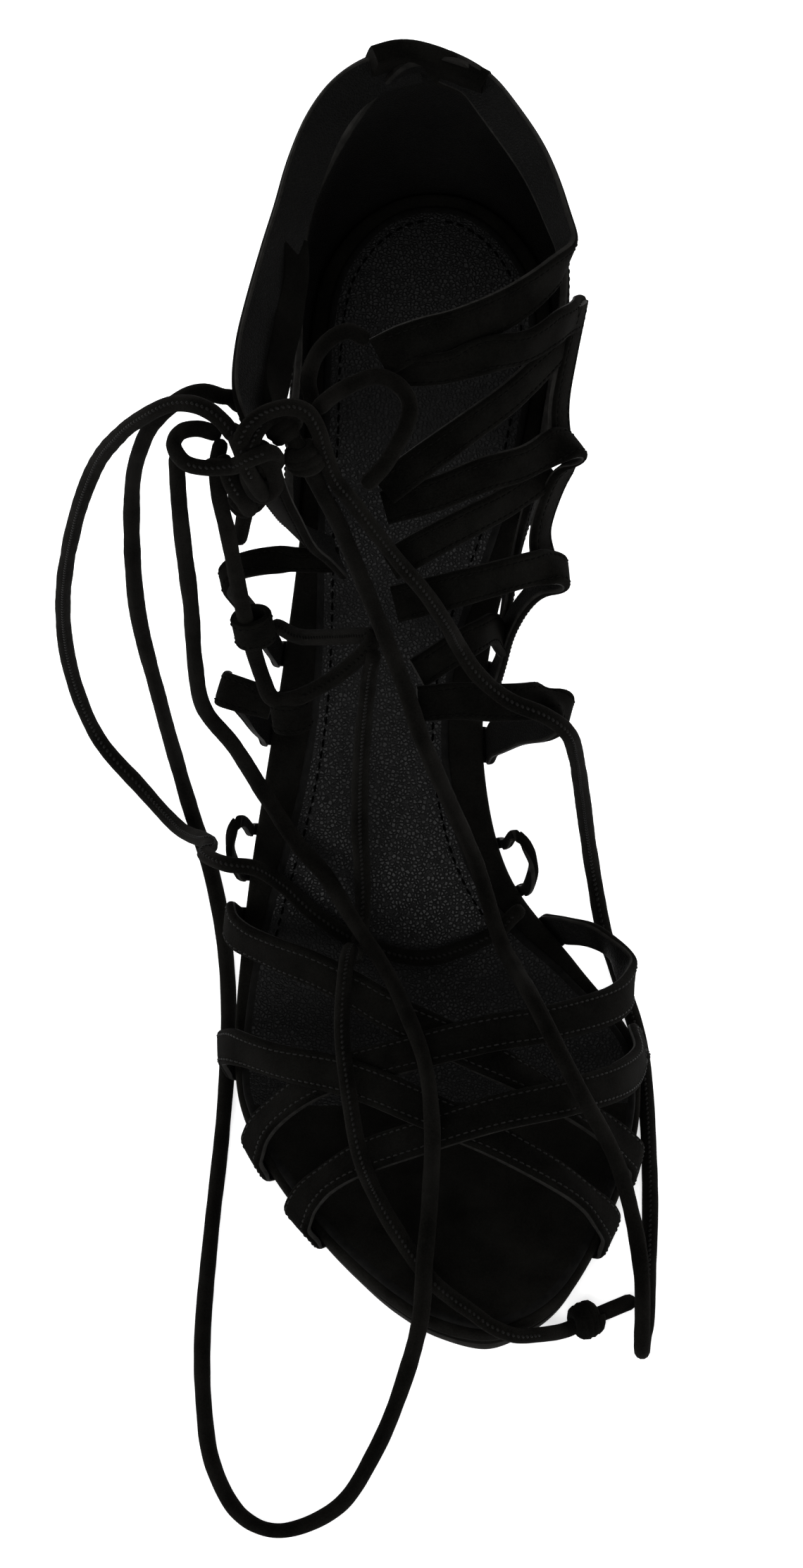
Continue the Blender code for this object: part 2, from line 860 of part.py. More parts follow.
def foot_rows(medial, back):
    """The end of a strap that turns under the insole: places, facings, thicknesses and the
    direction of the edge there."""
    place, outward, normal = edge_frame(medial, back)
    shape = (
        # outward, depth, facing outward, facing down, thickness
        (-6.5, MARGIN_MIDDLE, 0.0, 1.0, 0.7),
        (-0.8, MARGIN_MIDDLE, 0.0, 1.0, 0.7),
        (0.75, 3.75, 0.4, 1.0, 0.8),
        (1.35, 2.7, 1.0, 0.5, 1.3),
        (1.40, 1.0, 1.0, 0.0, STRAP_THICK),
    )
    places = [place + outward * out - normal * depth for out, depth, *_ in shape]
    outs = [unit(outward * level - normal * down) for _, _, level, down, _ in shape]
    return places, outs, [row[4] for row in shape], np.cross(normal, outward)


def thinned(values, tolerance):
    """The indices of the rows that the polyline needs to stay within the tolerance."""
    keep = {0, len(values) - 1}
    todo = [(0, len(values) - 1)]
    while todo:
        a, b = todo.pop()
        if b - a < 2:
            continue
        chord = values[b] - values[a]
        rest = values[a + 1 : b] - values[a]
        share = np.clip(rest @ chord / max(chord @ chord, 1e-9), 0.0, 1.0)
        away = np.linalg.norm(rest - share[:, None] * chord, axis=1)
        far = int(away.argmax())
        if away[far] > tolerance:
            keep.add(a + 1 + far)
            todo += [(a, a + 1 + far), (a + 1 + far, b)]
    return sorted(keep)


def rolled(vector, axis, degrees):
    angle = math.radians(degrees)
    return (
        vector * math.cos(angle)
        + np.cross(axis, vector) * math.sin(angle)
        + axis * np.dot(axis, vector) * (1 - math.cos(angle))
    )


def directions(places):
    """The direction of the path at each place."""
    ahead = np.roll(places, -1, axis=0)
    behind = np.roll(places, 1, axis=0)
    ahead[-1], behind[0] = places[-1], places[0]
    return np.array([unit(step) for step in ahead - behind])


def folded(places, outs):
    """Where the path bends sharply the strap folds over, so it faces away from the bend."""
    steps = np.diff(places, axis=0)
    lengths = np.linalg.norm(steps, axis=1)
    headings = steps / lengths[:, None]
    made = outs.copy()
    for i in range(1, len(places) - 1):
        bend = (headings[i - 1] - headings[i]) * 2 / (lengths[i - 1] + lengths[i])
        sharp = np.clip((np.linalg.norm(bend) - 0.04) / 0.10, 0.0, 1.0)
        away = unit(bend) * (1.0 if bend @ outs[i] >= 0 else -1.0)
        made[i] = unit(outs[i] * (1 - sharp) + away * sharp)
    for _ in range(3):
        made[1:-1] = made[:-2] * 0.25 + made[1:-1] * 0.5 + made[2:] * 0.25
    return made


def sweep(name, places, outs, thick, width, edges, finish):
    """A flat strap with square edges.  Edges gives a direction for its width where it isn't
    square to the path, and how strongly that holds."""
    along = directions(places)
    rings = []
    for i, place in enumerate(places):
        across = unit(np.cross(along[i], outs[i]))
        edge, hold = edges[i]
        if hold > 0:
            signed = edge if edge @ across > 0 else -edge
            across = unit(across * (1 - hold) + signed * hold)
        out = unit(np.cross(across, along[i]))
        half, deep = across * width / 2, out * thick[i] / 2
        corners = [(-half, -deep), (half, -deep), (half, deep), (-half, deep)]
        rings.append([place + sideways + depth for sideways, depth in corners])
    return mesh_object(name, *tube(rings), finish, guide=True)


def make_strap(
    name, rows, finish, feet="", width=STRAP_WIDTH, thick=STRAP_THICK, folds=True
):
    rows = np.array(rows, float)
    marks = np.array([(side, back, footbed(back) + rise) for side, back, rise, _ in rows])
    outs = np.array([facing(mark) for mark in marks])
    fine = smooth(np.hstack([marks, outs, rows[:, 3:]]), 6)
    places, outs, turns = fine[:, :3], fine[:, 3:6], fine[:, 6]
    run = np.concatenate([[0], np.cumsum(np.linalg.norm(np.diff(places, axis=0), axis=1))])
    ends = {}
    if feet in ("start", "both"):
        ends["start"] = foot_rows(rows[0, 0] > 0, rows[0, 1])
    if feet in ("end", "both"):
        ends["end"] = foot_rows(rows[-1, 0] > 0, rows[-1, 1])
    edges = [(np.zeros(3), 0.0)] * len(places)
    for end, (_, foot_outs, _, edge) in ends.items():
        gone = run if end == "start" else run[-1] - run
        for i, distance in enumerate(gone):
            near = max(0.0, 1.0 - distance / EDGE_REACH)
            if near > 0:
                outs[i] = unit(unit(outs[i]) * (1 - near) + foot_outs[-1] * near)
                edges[i] = (edge, near)
    if folds:
        outs = folded(places, outs)
    along = directions(places)
    outs = np.array([rolled(unit(o), a, t) for o, a, t in zip(outs, along, turns)])
    kept = thinned(places, 0.10)
    places, outs = places[kept], outs[kept]
    edges = [edges[i] for i in kept]
    thick = [thick] * len(places)
    if "start" in ends:
        foot, foot_outs, foot_thick, edge = ends["start"]
        places = np.vstack([foot, places])
        outs = np.vstack([foot_outs, outs])
        thick = foot_thick + thick
        edges = [(edge, 1.0)] * len(foot) + edges
    if "end" in ends:
        foot, foot_outs, foot_thick, edge = ends["end"]
        places = np.vstack([places, foot[::-1]])
        outs = np.vstack([outs, foot_outs[::-1]])
        thick = thick + foot_thick[::-1]
        edges = edges + [(edge, 1.0)] * len(foot)
    return sweep(name, places, outs, thick, width, edges, finish)


def make_margin(finish):
    """The upper's lasting margin, a flat ring between the insole and the outsole."""
    outer = outline(lambda back: 0.7 if back < 156.0 else -1.0)
    inner = outline(lambda back: 9.0)
    rings = []
    for out, within in zip(outer, inner):
        rings.append(
            [
                below(*out, MARGIN_DEPTHS[0]),
                below(*out, MARGIN_DEPTHS[1]),
                below(*within, MARGIN_DEPTHS[1]),
                below(*within, MARGIN_DEPTHS[0]),
            ]
        )
    points, faces = tube(rings)
    faces = faces[:-2]
    last = (len(rings) - 1) * 4
    for i in range(4):
        j = (i + 1) % 4
        faces.append((last + i, last + j, j, i))
    return mesh_object("upper", points, faces, finish)


def make_counter(finish):
    """The heel counter: a wall round the heel that turns under the insole at its foot."""
    edge = np.array(COUNTER_EDGE, float)
    top_key = np.where(edge[:, 0] < 0, edge[:, 1], 2 * SHOE_LENGTH - edge[:, 1])
    rings = []
    backs = section_rows(3)[:, 0]
    lateral = [(False, back) for back in backs if edge[0, 1] + 1 < back < SHOE_LENGTH - 0.6]
    medial = [(True, back) for back in backs if edge[-1, 1] + 1 < back < SHOE_LENGTH - 0.6]
    stations = [(False, edge[0, 1]), *lateral, (True, SHOE_LENGTH)]
    stations += [*medial[::-1], (True, edge[-1, 1])]
    for is_medial, back in stations:
        key = 2 * SHOE_LENGTH - back if is_medial else back
        tall = float(np.interp(key, top_key, edge[:, 2]))
        place, outward, normal = edge_frame(is_medial, back)
        level = unit(np.array([outward[0], outward[1], 0.0]))
        inner, outer = [], []
        for share in (1.0, 0.82, 0.62, 0.42, 0.22, 0.04):
            rise = tall * share
            out = COUNTER_GAP + COUNTER_BULGE * math.sin(math.pi * rise / COUNTER_BULGE_HEIGHT)
            out -= COUNTER_LEAN * rise**2
            up = np.array([0.0, 0.0, rise])
            inner.append(place + level * out + up)
            outer.append(place + level * (out + COUNTER_THICK) + up)
        flange = [
            place + outward * COUNTER_GAP - normal * 3.45,
            place - outward * 6.5 - normal * 3.45,
            place - outward * 6.5 - normal * 4.15,
            place + outward * 1.6 - normal * 4.15,
            place + outward * (COUNTER_GAP + COUNTER_THICK) - normal * 3.3,
        ]
        rings.append(inner + flange + outer[::-1])
    return mesh_object("counter", *tube(rings), finish, guide=True)


def make_upper(finish):
    upper = make_margin(finish)
    pieces = bpy.data.collections.new("upper_pieces")
    bpy.context.scene.collection.children.link(pieces)
    made = [make_counter(finish)]
    for name, strap in STRAPS.items():
        made.append(make_strap(name, finish=finish, **strap))
    for piece in made:
        bpy.context.scene.collection.objects.unlink(piece)
        pieces.objects.link(piece)
    join = upper.modifiers.new("join", "BOOLEAN")
    join.operation = "UNION"
    join.operand_type = "COLLECTION"
    join.collection = pieces
    join.solver = "MANIFOLD"
    return upper


def cord_object(name, rows, finish):
    """A round cord along a smooth curve through the rows."""
    fine = smooth(rows, 24)
    run = np.concatenate([[0], np.cumsum(np.linalg.norm(np.diff(fine, axis=0), axis=1))])
    count = max(4, int(round(run[-1] / (LACE_DIAMETER * LACE_SPACING))) + 1)
    at = np.linspace(0.0, run[-1], count)
    places = np.stack([np.interp(at, run, fine[:, k]) for k in range(3)], axis=1)
    curve = bpy.data.curves.new(name, "CURVE")
    curve.dimensions = "3D"
    curve.bevel_depth = LACE_DIAMETER / 2 * MM
    curve.bevel_resolution = 2
    curve.use_fill_caps = True
    curve.twist_mode = "MINIMUM"
    spline = curve.splines.new("POLY")
    spline.points.add(count - 1)
    for point, place in zip(spline.points, places):
        placed = (place - (MIDDLE_SIDE, MIDDLE_BACK, 0.0)) * MM
        point.co = (*placed, 1.0)
    curve.materials.append(finish)
    made = bpy.data.objects.new(name, curve)
    bpy.context.scene.collection.objects.link(made)
    return made


def clear_scene():
    for old in list(bpy.data.objects):
        bpy.data.objects.remove(old)


def main():
    clear_scene()
    suede = material("black suede", (0.012, 0.010, 0.010), 0.95)
    leather = material("black leather", (0.018, 0.017, 0.018), 0.55)
    sole_leather = material("black sole leather", (0.020, 0.018, 0.018), 0.5)
    rubber = material("black rubber", (0.015, 0.015, 0.015), 0.7)
    make_outsole(sole_leather)
    make_insole(suede)
    make_sock(leather)
    make_heel(suede)
    make_heel_tip(rubber)
    make_upper(suede)
    cord = material("black suede cord", (0.014, 0.012, 0.012), 0.9)
    cord_object("lace_crossings", LACE_CROSSINGS, cord)
    for name, rows in FREE_LACE.items():
        cord_object(name, rows, cord)


main()
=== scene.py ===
"""Dresses the strappy lace-up sandal: straps, counter, sole parts and laces at full detail.

Shoe coordinates are in millimetres: side (medial is positive), back (level distance behind
the toe tip) and height above the floor.  Rise is height above the footbed, and depth is the
distance below it, square to its slope.
"""

import math

import bmesh
import bpy
import numpy as np
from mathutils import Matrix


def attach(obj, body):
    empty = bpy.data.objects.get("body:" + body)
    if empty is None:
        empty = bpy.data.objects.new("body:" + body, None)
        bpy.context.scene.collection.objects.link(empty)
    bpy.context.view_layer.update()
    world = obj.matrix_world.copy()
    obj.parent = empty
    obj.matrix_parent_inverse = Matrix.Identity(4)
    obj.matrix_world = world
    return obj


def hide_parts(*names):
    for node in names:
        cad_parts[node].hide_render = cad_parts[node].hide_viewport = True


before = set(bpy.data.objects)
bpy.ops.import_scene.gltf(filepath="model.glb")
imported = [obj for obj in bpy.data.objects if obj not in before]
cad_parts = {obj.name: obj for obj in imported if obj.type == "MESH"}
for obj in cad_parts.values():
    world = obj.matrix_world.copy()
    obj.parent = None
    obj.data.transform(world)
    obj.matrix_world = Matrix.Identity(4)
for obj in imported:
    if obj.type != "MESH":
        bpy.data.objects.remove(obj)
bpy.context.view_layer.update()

MM = 0.001

# Driving dimensions, millimetres, the same as the solids'.
SHOE_LENGTH = 212.0
BALL_WIDTH = 82.0
BALL_HEIGHT = 7.3
HEEL_RISE = 103.1
STRAP_WIDTH = 7.6
STRAP_THICK = 1.8
COLLAR_WIDTH = 8.6
LACE_DIAMETER = 3.3
EDGE_REACH = 12.0
GAP = 0.3
MIDDLE_SIDE = -0.1
MIDDLE_BACK = 109.2

# Layers of the sole, as depths below the footbed.
SOCK_DEPTHS = (-1.1, -0.3)
INSOLE_DEPTHS = (0.0, 3.0)
MARGIN_DEPTHS = (3.3, 4.3)
OUTSOLE_DEPTHS = (4.6, BALL_HEIGHT)
MARGIN_MIDDLE = 3.8
OUTSOLE_INSET = 1.4

# Sections of the footbed: back is a share of the length, lateral and medial are shares of the
# ball width, and rise is a share of the heel rise.
SECTIONS = (
    # back, lateral, medial, rise
    (0.016, 0.122, 0.122, 0.026), (0.030, -0.002, 0.222, 0.022), (0.056, -0.098, 0.303, 0.016),
    (0.096, -0.200, 0.368, 0.007), (0.150, -0.312, 0.428, 0), (0.215, -0.416, 0.484, 0),
    (0.283, -0.482, 0.512, 0), (0.349, -0.494, 0.494, 0.016), (0.415, -0.482, 0.354, 0.070),
    (0.481, -0.457, 0.189, 0.172), (0.552, -0.415, 0.126, 0.327), (0.623, -0.372, 0.134, 0.492),
    (0.698, -0.335, 0.195, 0.657), (0.778, -0.313, 0.256, 0.802), (0.854, -0.305, 0.290, 0.899),
    (0.920, -0.274, 0.268, 0.952), (0.967, -0.195, 0.190, 0.982), (0.993, -0.098, 0.096, 0.996),
    (1, 0, 0, 1),
)

# The middle of the foot and leg, which every strap faces away from.
FOOT_AXIS = (
    # side, back, height
    (5, 5, 14), (2, 58, 18), (-4, 92, 33), (-6, 125, 68), (-5, 152, 102), (-4, 172, 130),
    (-4, 180, 175), (-4, 180, 230),
)

# Sections of the heel, from the seat down: down is a share of the way to the top piece, front
# and rear are backs in millimetres, and width is a share of the seat's width.
HEEL_SECTIONS = (
    # down, front, rear, width
    (0, 168, 211.3, 0.97), (0.10, 172.5, 211, 0.82), (0.22, 177.5, 209.8, 0.62),
    (0.36, 182.5, 208, 0.44), (0.52, 186.5, 206.2, 0.32), (0.70, 189.5, 204.4, 0.25),
    (0.86, 191, 203, 0.22), (1, 191.8, 202.2, 0.21),
)
TOP_PIECE_HEIGHT = 5.0

# The counter's top edge, from the lateral wing round the heel to the medial wing.  Its key is
# the back on the lateral side, and twice the shoe's length less the back on the medial side.
COUNTER_EDGE = (
    # key, rise
    (151, 6), (156, 22), (162, 29), (172, 28), (184, 26), (194, 25), (201, 28.6), (207, 38),
    (210.5, 47.5), (212, 48.5), (213.5, 47.5), (217, 36), (223, 28.6), (230, 25), (240, 23.4),
    (252, 22), (262, 17.5), (268, 11), (272, 4),
)
COUNTER_GAP = 0.6
COUNTER_THICK = 1.7
COUNTER_BULGE = 1.5
COUNTER_BULGE_HEIGHT = 42.0
COUNTER_LEAN = 0.0015

# The straps, which with the counter are the upper.  A row is a place on a strap's middle line,
# and turn rolls the strap about that line, in degrees.  A row without it isn't rolled.  Feet
# names the ends that turn under the insole.
STRAPS = {
    # each row: side, back, rise, turn
    "toe_strap_1": dict(feet="both", rows=(
        (-42, 94, 3.5), (-40, 88, 10.5), (-31.5, 79.5, 20), (-24, 74, 25), (-16, 68, 28),
        (-8, 62, 29), (5, 55, 29), (19, 49, 25), (33, 45, 15), (41, 44, 3.5),
    )),
    "toe_strap_2": dict(feet="both", rows=(
        (-43.4, 69.5, 3.5), (-40, 64.5, 12), (-31, 56, 20.5), (-16, 48, 27), (-2, 40, 29),
        (12, 34, 27), (26, 30, 18), (33.6, 28, 8.5), (35.8, 28, 2.5),
    )),
    "toe_strap_3": dict(feet="both", rows=(
        (-37.2, 46, 2.5), (-34, 48, 11), (-23, 51, 22), (-7, 52, 29.5), (10, 55, 33), (24, 59, 31),
        (37, 70, 20), (39.8, 81, 9.5), (35, 90, 3.5), (28.8, 93, 1),
    )),
    "toe_strap_4": dict(feet="both", rows=(
        (-28, 30, 2.5), (-25, 32, 9.5), (-16, 34.5, 18), (-2, 35, 27), (12, 37.5, 31.5),
        (26, 42, 30), (36.5, 51, 21), (41.4, 62, 10), (41.4, 72, 2.5),
    )),
    "heel_tunnel": dict(width=12.0, thick=4.2, folds=False, rows=(
        (-12.8, 208.8, 47.6, 28), (-7, 211, 46.6, 28), (-0.5, 211.6, 43.6, 28), (5.5, 210, 42, 28),
        (10.5, 207.4, 42, 28),
    )),
    "collar_lateral": dict(width=COLLAR_WIDTH, rows=(
        (-3, 210.8, 45, 5), (-10.5, 209.2, 44.8, 20), (-17.2, 204.8, 44.8, 40),
        (-22.1, 197.6, 45.6, 48), (-25.7, 187.6, 48.1, 50), (-28.4, 176.6, 53, 50),
        (-31.3, 165, 61, 50), (-33.9, 153, 71.5, 54), (-35.8, 142, 82.5, 58), (-36.4, 132, 93, 58),
        (-35.4, 121.5, 104, 52),
    )),
    "collar_facing": dict(width=6.8, rows=(
        (-28, 172, 54.2, 50), (-27.6, 165, 58, 50), (-28.4, 158, 62.8, 52), (-29.4, 151, 69.4, 54),
        (-30.6, 144, 76.2, 56), (-31.4, 137, 83.6, 58), (-31.8, 131, 89.8, 58),
    )),
    "collar_medial": dict(width=8.4, rows=(
        (2, 210.6, 44.5, 0), (8, 207.6, 44, -10), (14.2, 199.8, 44, -20), (20, 189.8, 46, -25),
        (24, 177.2, 52.5, -22), (26, 166.8, 60, -10), (22, 158.6, 69, 5), (14, 150.6, 77.5, 20),
        (4, 144.6, 84.5, 25), (-4, 142.2, 87, 25), (-11, 139.4, 88, 25),
    )),
    "instep_strap_1": dict(width=7.2, rows=(
        (-9, 139.6, 83, -10), (2, 139, 85.5, -10), (10, 141, 85, -10), (18, 145, 78, -10),
        (24, 151.5, 69, 0), (27.3, 158, 58, 0), (28.3, 161, 52.5, 0),
    )),
    "instep_link": dict(width=6.4, rows=(
        (28.6, 160.5, 57), (26, 153.5, 53.5), (24.5, 147, 51.5), (25.5, 139.5, 53),
    )),
    "instep_strap_2": dict(width=6.6, rows=(
        (26.5, 156.5, 54), (20.5, 147.5, 64.5), (14, 139, 75), (6, 132, 82.5), (-3, 126, 86.5),
        (-10, 123, 85),
    )),
    "rung_1": dict(width=7.2, rows=(
        (22.5, 128, 43.5), (21, 132.5, 45.5), (23.8, 137, 50.5), (28, 140.5, 54.5),
        (26, 139.5, 59.5), (22, 137, 62.8), (17, 132.5, 69.5), (9, 128, 77), (0, 124, 81),
        (-10, 122, 81.5),
    )),
    "instep_strap_3": dict(feet="start", width=6.6, rows=(
        (13.9, 136.5, 3.5), (15, 136.5, 16), (17, 138, 29), (20, 140, 42), (22.5, 139.5, 50),
        (19.5, 135.5, 55.5), (14, 129.5, 64), (7, 123.5, 73), (-1, 118.5, 78.5), (-9, 115, 79.5),
    )),
    "rung_2": dict(feet="start", width=7.4, rows=(
        (12.9, 129.5, 4), (15.2, 129.5, 20), (20, 128.3, 36), (25.8, 127.3, 44.5), (24, 126, 50.8),
        (19.5, 123.5, 56.5), (11, 118.5, 65.5), (3, 114.5, 72), (-8, 112.5, 72.5),
    )),
    "instep_strap_4": dict(width=6.6, rows=(
        (13.8, 128.8, 17), (11.8, 125.5, 30), (9, 120, 42), (4, 115, 50), (-3.5, 110, 54.5),
    )),
    "rung_3": dict(feet="start", width=7.6, rows=(
        (12.2, 120.3, 4), (17.5, 116.6, 18), (23, 112.2, 31), (26.2, 110.2, 38.5),
        (26.2, 109.4, 43.5), (23, 109.3, 47), (17.5, 107.6, 50.5), (11, 105.6, 55.3), (5, 104, 60),
        (-3.5, 102.5, 62.5),
    )),
    "side_strap": dict(width=9.0, rows=(
        (-34, 118.5, 105), (-32.2, 120, 93), (-29.8, 122.5, 79), (-27, 126, 62.5),
        (-23.5, 130, 48), (-19.5, 134, 33),
    )),
    "side_rung_1": dict(feet="start", width=5.4, rows=(
        (-32.3, 133, 3.5), (-35, 132.5, 12), (-38.2, 131.8, 22), (-41.2, 131, 30.5),
        (-42, 130.5, 35), (-39.5, 130.8, 38.2), (-33, 132, 37.6), (-26, 133, 35),
        (-19.5, 134, 32.5),
    )),
    "side_rung_2": dict(feet="start", width=7.0, rows=(
        (-34.5, 122.5, 3.5), (-37.5, 119.5, 17), (-41.3, 117, 30.5), (-42.4, 114, 38.5),
        (-38.5, 111.4, 43), (-32.5, 109.5, 44.5),
    )),
    "front_loop_lateral": dict(feet="both", width=2.4, rows=(
        (-37.6, 108.4, 1.5), (-39.2, 108.2, 5.5), (-41, 106.3, 7.6), (-41.4, 103.6, 5.5),
        (-39.8, 101.8, 1.5),
    )),
    "front_loop_medial": dict(feet="both", width=2.4, rows=(
        (15.2, 106.4, 1.5), (16.6, 105.8, 6.5), (19, 103.4, 8.5), (20.4, 100.8, 6),
        (19.2, 99.4, 1.5),
    )),
}

# The laced part of the lace: from the lateral edge to the throat, back to the lower rung's
# loop, and up the side to the knot.
LACE_CROSSINGS = (
    # side, back, height
    (-31.4, 131.6, 72.5), (-27, 126.8, 76), (-20, 120, 86), (-14.5, 113.5, 96), (-12, 110.8, 99.5),
    (-14.5, 108.2, 97), (-21, 106, 91), (-28, 104.5, 87), (-32.3, 105, 86.5), (-34.3, 107, 91.5),
    (-36.2, 108.3, 101), (-37.6, 109.5, 110), (-39, 111, 121), (-40.6, 112.8, 134),
    (-41.9, 115, 141), (-42.4, 118.5, 145.5), (-42.2, 120.2, 148), (-41.8, 121.2, 149.9),
)

# The lace's free stretches, from the knot at the lateral side of the ankle.  A seam is its start
# and end as shares of the stretch, and how far it is rolled, in degrees.  A knot is its distance
# from the start, or from the end if it is negative, and its turns.  The stretches with no far end
# are the short ones; a far end is listed but changes nothing in what is built.  A stretch with no
# far end is too short to be a cord.
FREE_LACE = {
    # each row: side, back, height
    "lace_loop_lateral": dict(name="lace_loop_left", seed=3, far_end="object", rows=(
        (-38.4, 131.6, 149.6), (-39.8, 131.9, 151.4), (-41.5, 131.4, 152.5), (-45.2, 132.5, 152.5),
        (-49.2, 132.4, 150.5), (-53.4, 132, 145.5), (-57.2, 133, 135), (-60, 136.5, 112),
        (-60, 136, 74), (-56, 136, 38), (-53, 134.5, 18), (-50, 130, 5), (-46, 118, 1.8),
        (-43, 100, 1.8), (-42, 80, 1.8), (-43, 56, 1.8), (-45, 32, 1.8), (-46.5, 8, 1.8),
        (-46, -9, 1.8), (-44, -22, 1.8), (-38.5, -33, 1.8), (-30, -36.5, 1.8), (-19, -31, 1.8),
        (-12, -19, 1.8), (-7, -6, 2.5), (-3, 3, 15), (-2, 15, 19), (-1, 24.5, 25),
        (-0.5, 32.5, 41.5), (-2, 47, 42.5), (-6, 58.5, 44.5), (-10, 69, 43), (-16, 84, 36),
        (-22, 96, 35), (-27.5, 102, 37), (-34, 105.5, 50), (-40, 105.5, 68), (-46, 107, 80),
        (-47.5, 108, 95), (-48, 110, 112), (-49, 111.5, 128), (-49.6, 113.5, 137),
        (-50, 116.5, 143.5), (-50.2, 120, 147.5),
    )),
    "lace_end_lateral": dict(
        name="lace_end_outer", seed=4, far_end="bare", seams=((0.0, 1.0, 0.0),), rows=(
        (-39.3, 119.4, 157), (-41.2, 120.9, 159), (-44, 123.2, 159.5), (-47.6, 125.4, 158.5),
        (-51.8, 127.2, 155.5), (-56.5, 128.8, 149.5), (-61.5, 132, 139), (-67, 137, 121),
        (-72, 141, 95), (-75.5, 147, 60), (-75, 150, 30), (-70, 147, 9), (-61, 139, 1.8),
        (-52.5, 125, 7.5), (-46, 111, 24), (-46.4, 102, 33.5), (-42, 96.8, 38), (-36, 97, 36),
        (-30.5, 97, 29.5), (-24, 93.5, 24), (-15, 89.5, 20), (-2, 86.5, 18.5), (11, 90, 21),
        (17, 93.5, 25),
    )),
    "lace_end_medial": dict(
        name="lace_end_inner", seed=5, far_end="knot", seams=((0.0, 0.9, 0.0),),
        knots=((-10.0, 3.2),), rows=(
        (-12.2, 107.2, 98), (-13.2, 106.2, 90), (-14.5, 104, 70), (-15, 100, 50), (-14.5, 95, 35),
        (-14.5, 91, 28.4), (-15, 86.8, 25.3), (-15.6, 82.4, 26.4), (-16.4, 78.6, 32.8),
        (-17.2, 74.6, 39.8), (-18, 66, 43.5), (-18.5, 55, 42), (-17.5, 45, 39.5), (-15, 31, 34.5),
        (-11, 27.5, 21), (-5, 20, 14.2), (-0.4, 13.4, 13.8), (3.4, 9.6, 13.8), (7.5, 6.2, 13.9),
        (11.4, 3.2, 13.5), (16.2, 2.4, 11.2), (21.6, 5.4, 6.4), (26.4, 8.8, 2.2),
        (30.6, 11.4, 1.8), (34.8, 13.4, 1.8), (39, 15.4, 1.8),
    )),
    "lace_loop_medial": dict(
        name="lace_loop_right", seed=6, far_end="object", seams=((0.47, 1.0, 0.0),),
        knots=((2.2, 2.3), (9.0, 2.6)), rows=(
        (-30.9, 124.6, 154.5), (-29.1, 122.6, 154.3), (-26.8, 119.9, 152.5), (-24.4, 117.2, 148.2),
        (-21.9, 115.5, 142), (-19, 113.8, 135), (-15, 111.2, 122), (-10, 107, 106),
        (-6, 102.8, 94), (-2.5, 95.5, 86), (3.2, 94.5, 64), (8.5, 94.5, 42), (13.3, 86.5, 26.5),
        (16.5, 73.5, 35), (19.8, 58, 48), (28.3, 42, 42), (36, 32.5, 30), (39.8, 24.6, 18.6),
        (41.4, 15.2, 13.8), (41.5, 7.4, 12.8), (41.4, 3.2, 11), (41.4, 1.6, 7.3), (41.6, 3.4, 3.5),
        (42, 7.6, 1.8), (42.8, 14, 1.8), (43.8, 40, 1.7), (43.3, 64, 1.7), (42, 77.5, 1.8),
        (38.8, 90, 2.2), (35.2, 102.5, 3.6), (33.2, 110.5, 10.5), (31.6, 112.2, 24),
        (30, 109.5, 45), (28.3, 104.5, 67), (26.4, 102.2, 78.4), (22, 102.4, 84),
        (14.6, 104.2, 87), (8.5, 106.4, 92.8), (4.7, 109.5, 98.3), (2.3, 108.3, 107.6),
        (-2, 109.5, 117), (-7, 111.8, 124), (-12.1, 113.5, 133), (-16.2, 115.6, 139.5),
        (-19.5, 116.9, 145), (-21.4, 118.8, 151), (-22.6, 120.6, 156), (-24.6, 122.2, 159.6),
        (-27.4, 122.6, 161.2), (-30.6, 121.8, 161.8), (-33.8, 120.2, 161.8), (-36.4, 117.8, 161),
        (-37.9, 115.4, 158.8),
    )),
    "lace_bow": dict(
        name="lace_bow_loop", seed=7, far_end="object", seams=((0.0, 0.5, 0.6),),
        knots=((0.8, 2.5),), rows=(
        (-33.4, 117.6, 151.5), (-36.6, 115, 153.6), (-40.2, 113, 155), (-44.6, 112.3, 155.6),
        (-48.4, 113.6, 155.6), (-50.6, 118.2, 154.6), (-49.4, 122.8, 152.6), (-46.2, 124.8, 151),
        (-43, 124.6, 150),
    )),
    "lace_arc_low": dict(name="lace_arc_lower", seed=9, far_end="object", rows=(
        (-22.4, 126.2, 156.4), (-19.4, 129.7, 155.8), (-15.2, 133, 155), (-11.4, 135.1, 154),
        (-8, 134, 153.5), (-5.6, 131.2, 153), (-5, 128, 152.6), (-5.8, 124.8, 151.5),
        (-7.6, 121.9, 149.5), (-9.8, 119.2, 147), (-12.9, 117.2, 144),
    )),
    "lace_arc_high": dict(name="lace_arc_upper", seed=8, rows=(
        (-23.8, 128.9, 153.2), (-24.7, 134.1, 154), (-23.3, 140.3, 153.5), (-20.4, 144.8, 153),
        (-17.1, 146.6, 153), (-14.2, 145.4, 152.6),
    )),
    "lace_strand": dict(name="lace_side_strand", seed=10, knots=((1.2, 2.4),), rows=(
        (-36.3, 117.9, 140), (-37.2, 117.1, 133), (-38.2, 116.6, 126),
    )),
}

# Looks, millimetres.
STITCH_PITCH = 1.55
STITCH_LENGTH = 1.15
STITCH_SIDES = 6
STITCH_SHAPE = (
    # share of the length, share of the radius, height in radii
    (-0.5, 0.35, -0.9), (-0.34, 0.9, -0.1), (0.0, 1.0, 0.25), (0.34, 0.9, -0.1),
    (0.5, 0.35, -0.9),
)
THREAD_RADIUS = 0.19
ROW_INSET = 1.15
SOCK_STITCH = dict(pitch=2.4, length=1.7, radius=0.24)
KEEPER_STITCH = dict(pitch=1.3, length=0.9)
LACE_STITCH = dict(pitch=1.15, length=0.95, radius=0.26, slant=0.55)

# The camera, in shoe coordinates.
CAMERA_PLACE = (-8.0, -870.3, 1554.6)
CAMERA_TILT = 33.0
CAMERA_LENS = 203.77
CAMERA_SHIFT = (0.004492363, 0.0041778976)


# ---- paths


def unit(vector):
    return vector / max(np.linalg.norm(vector), 1e-9)


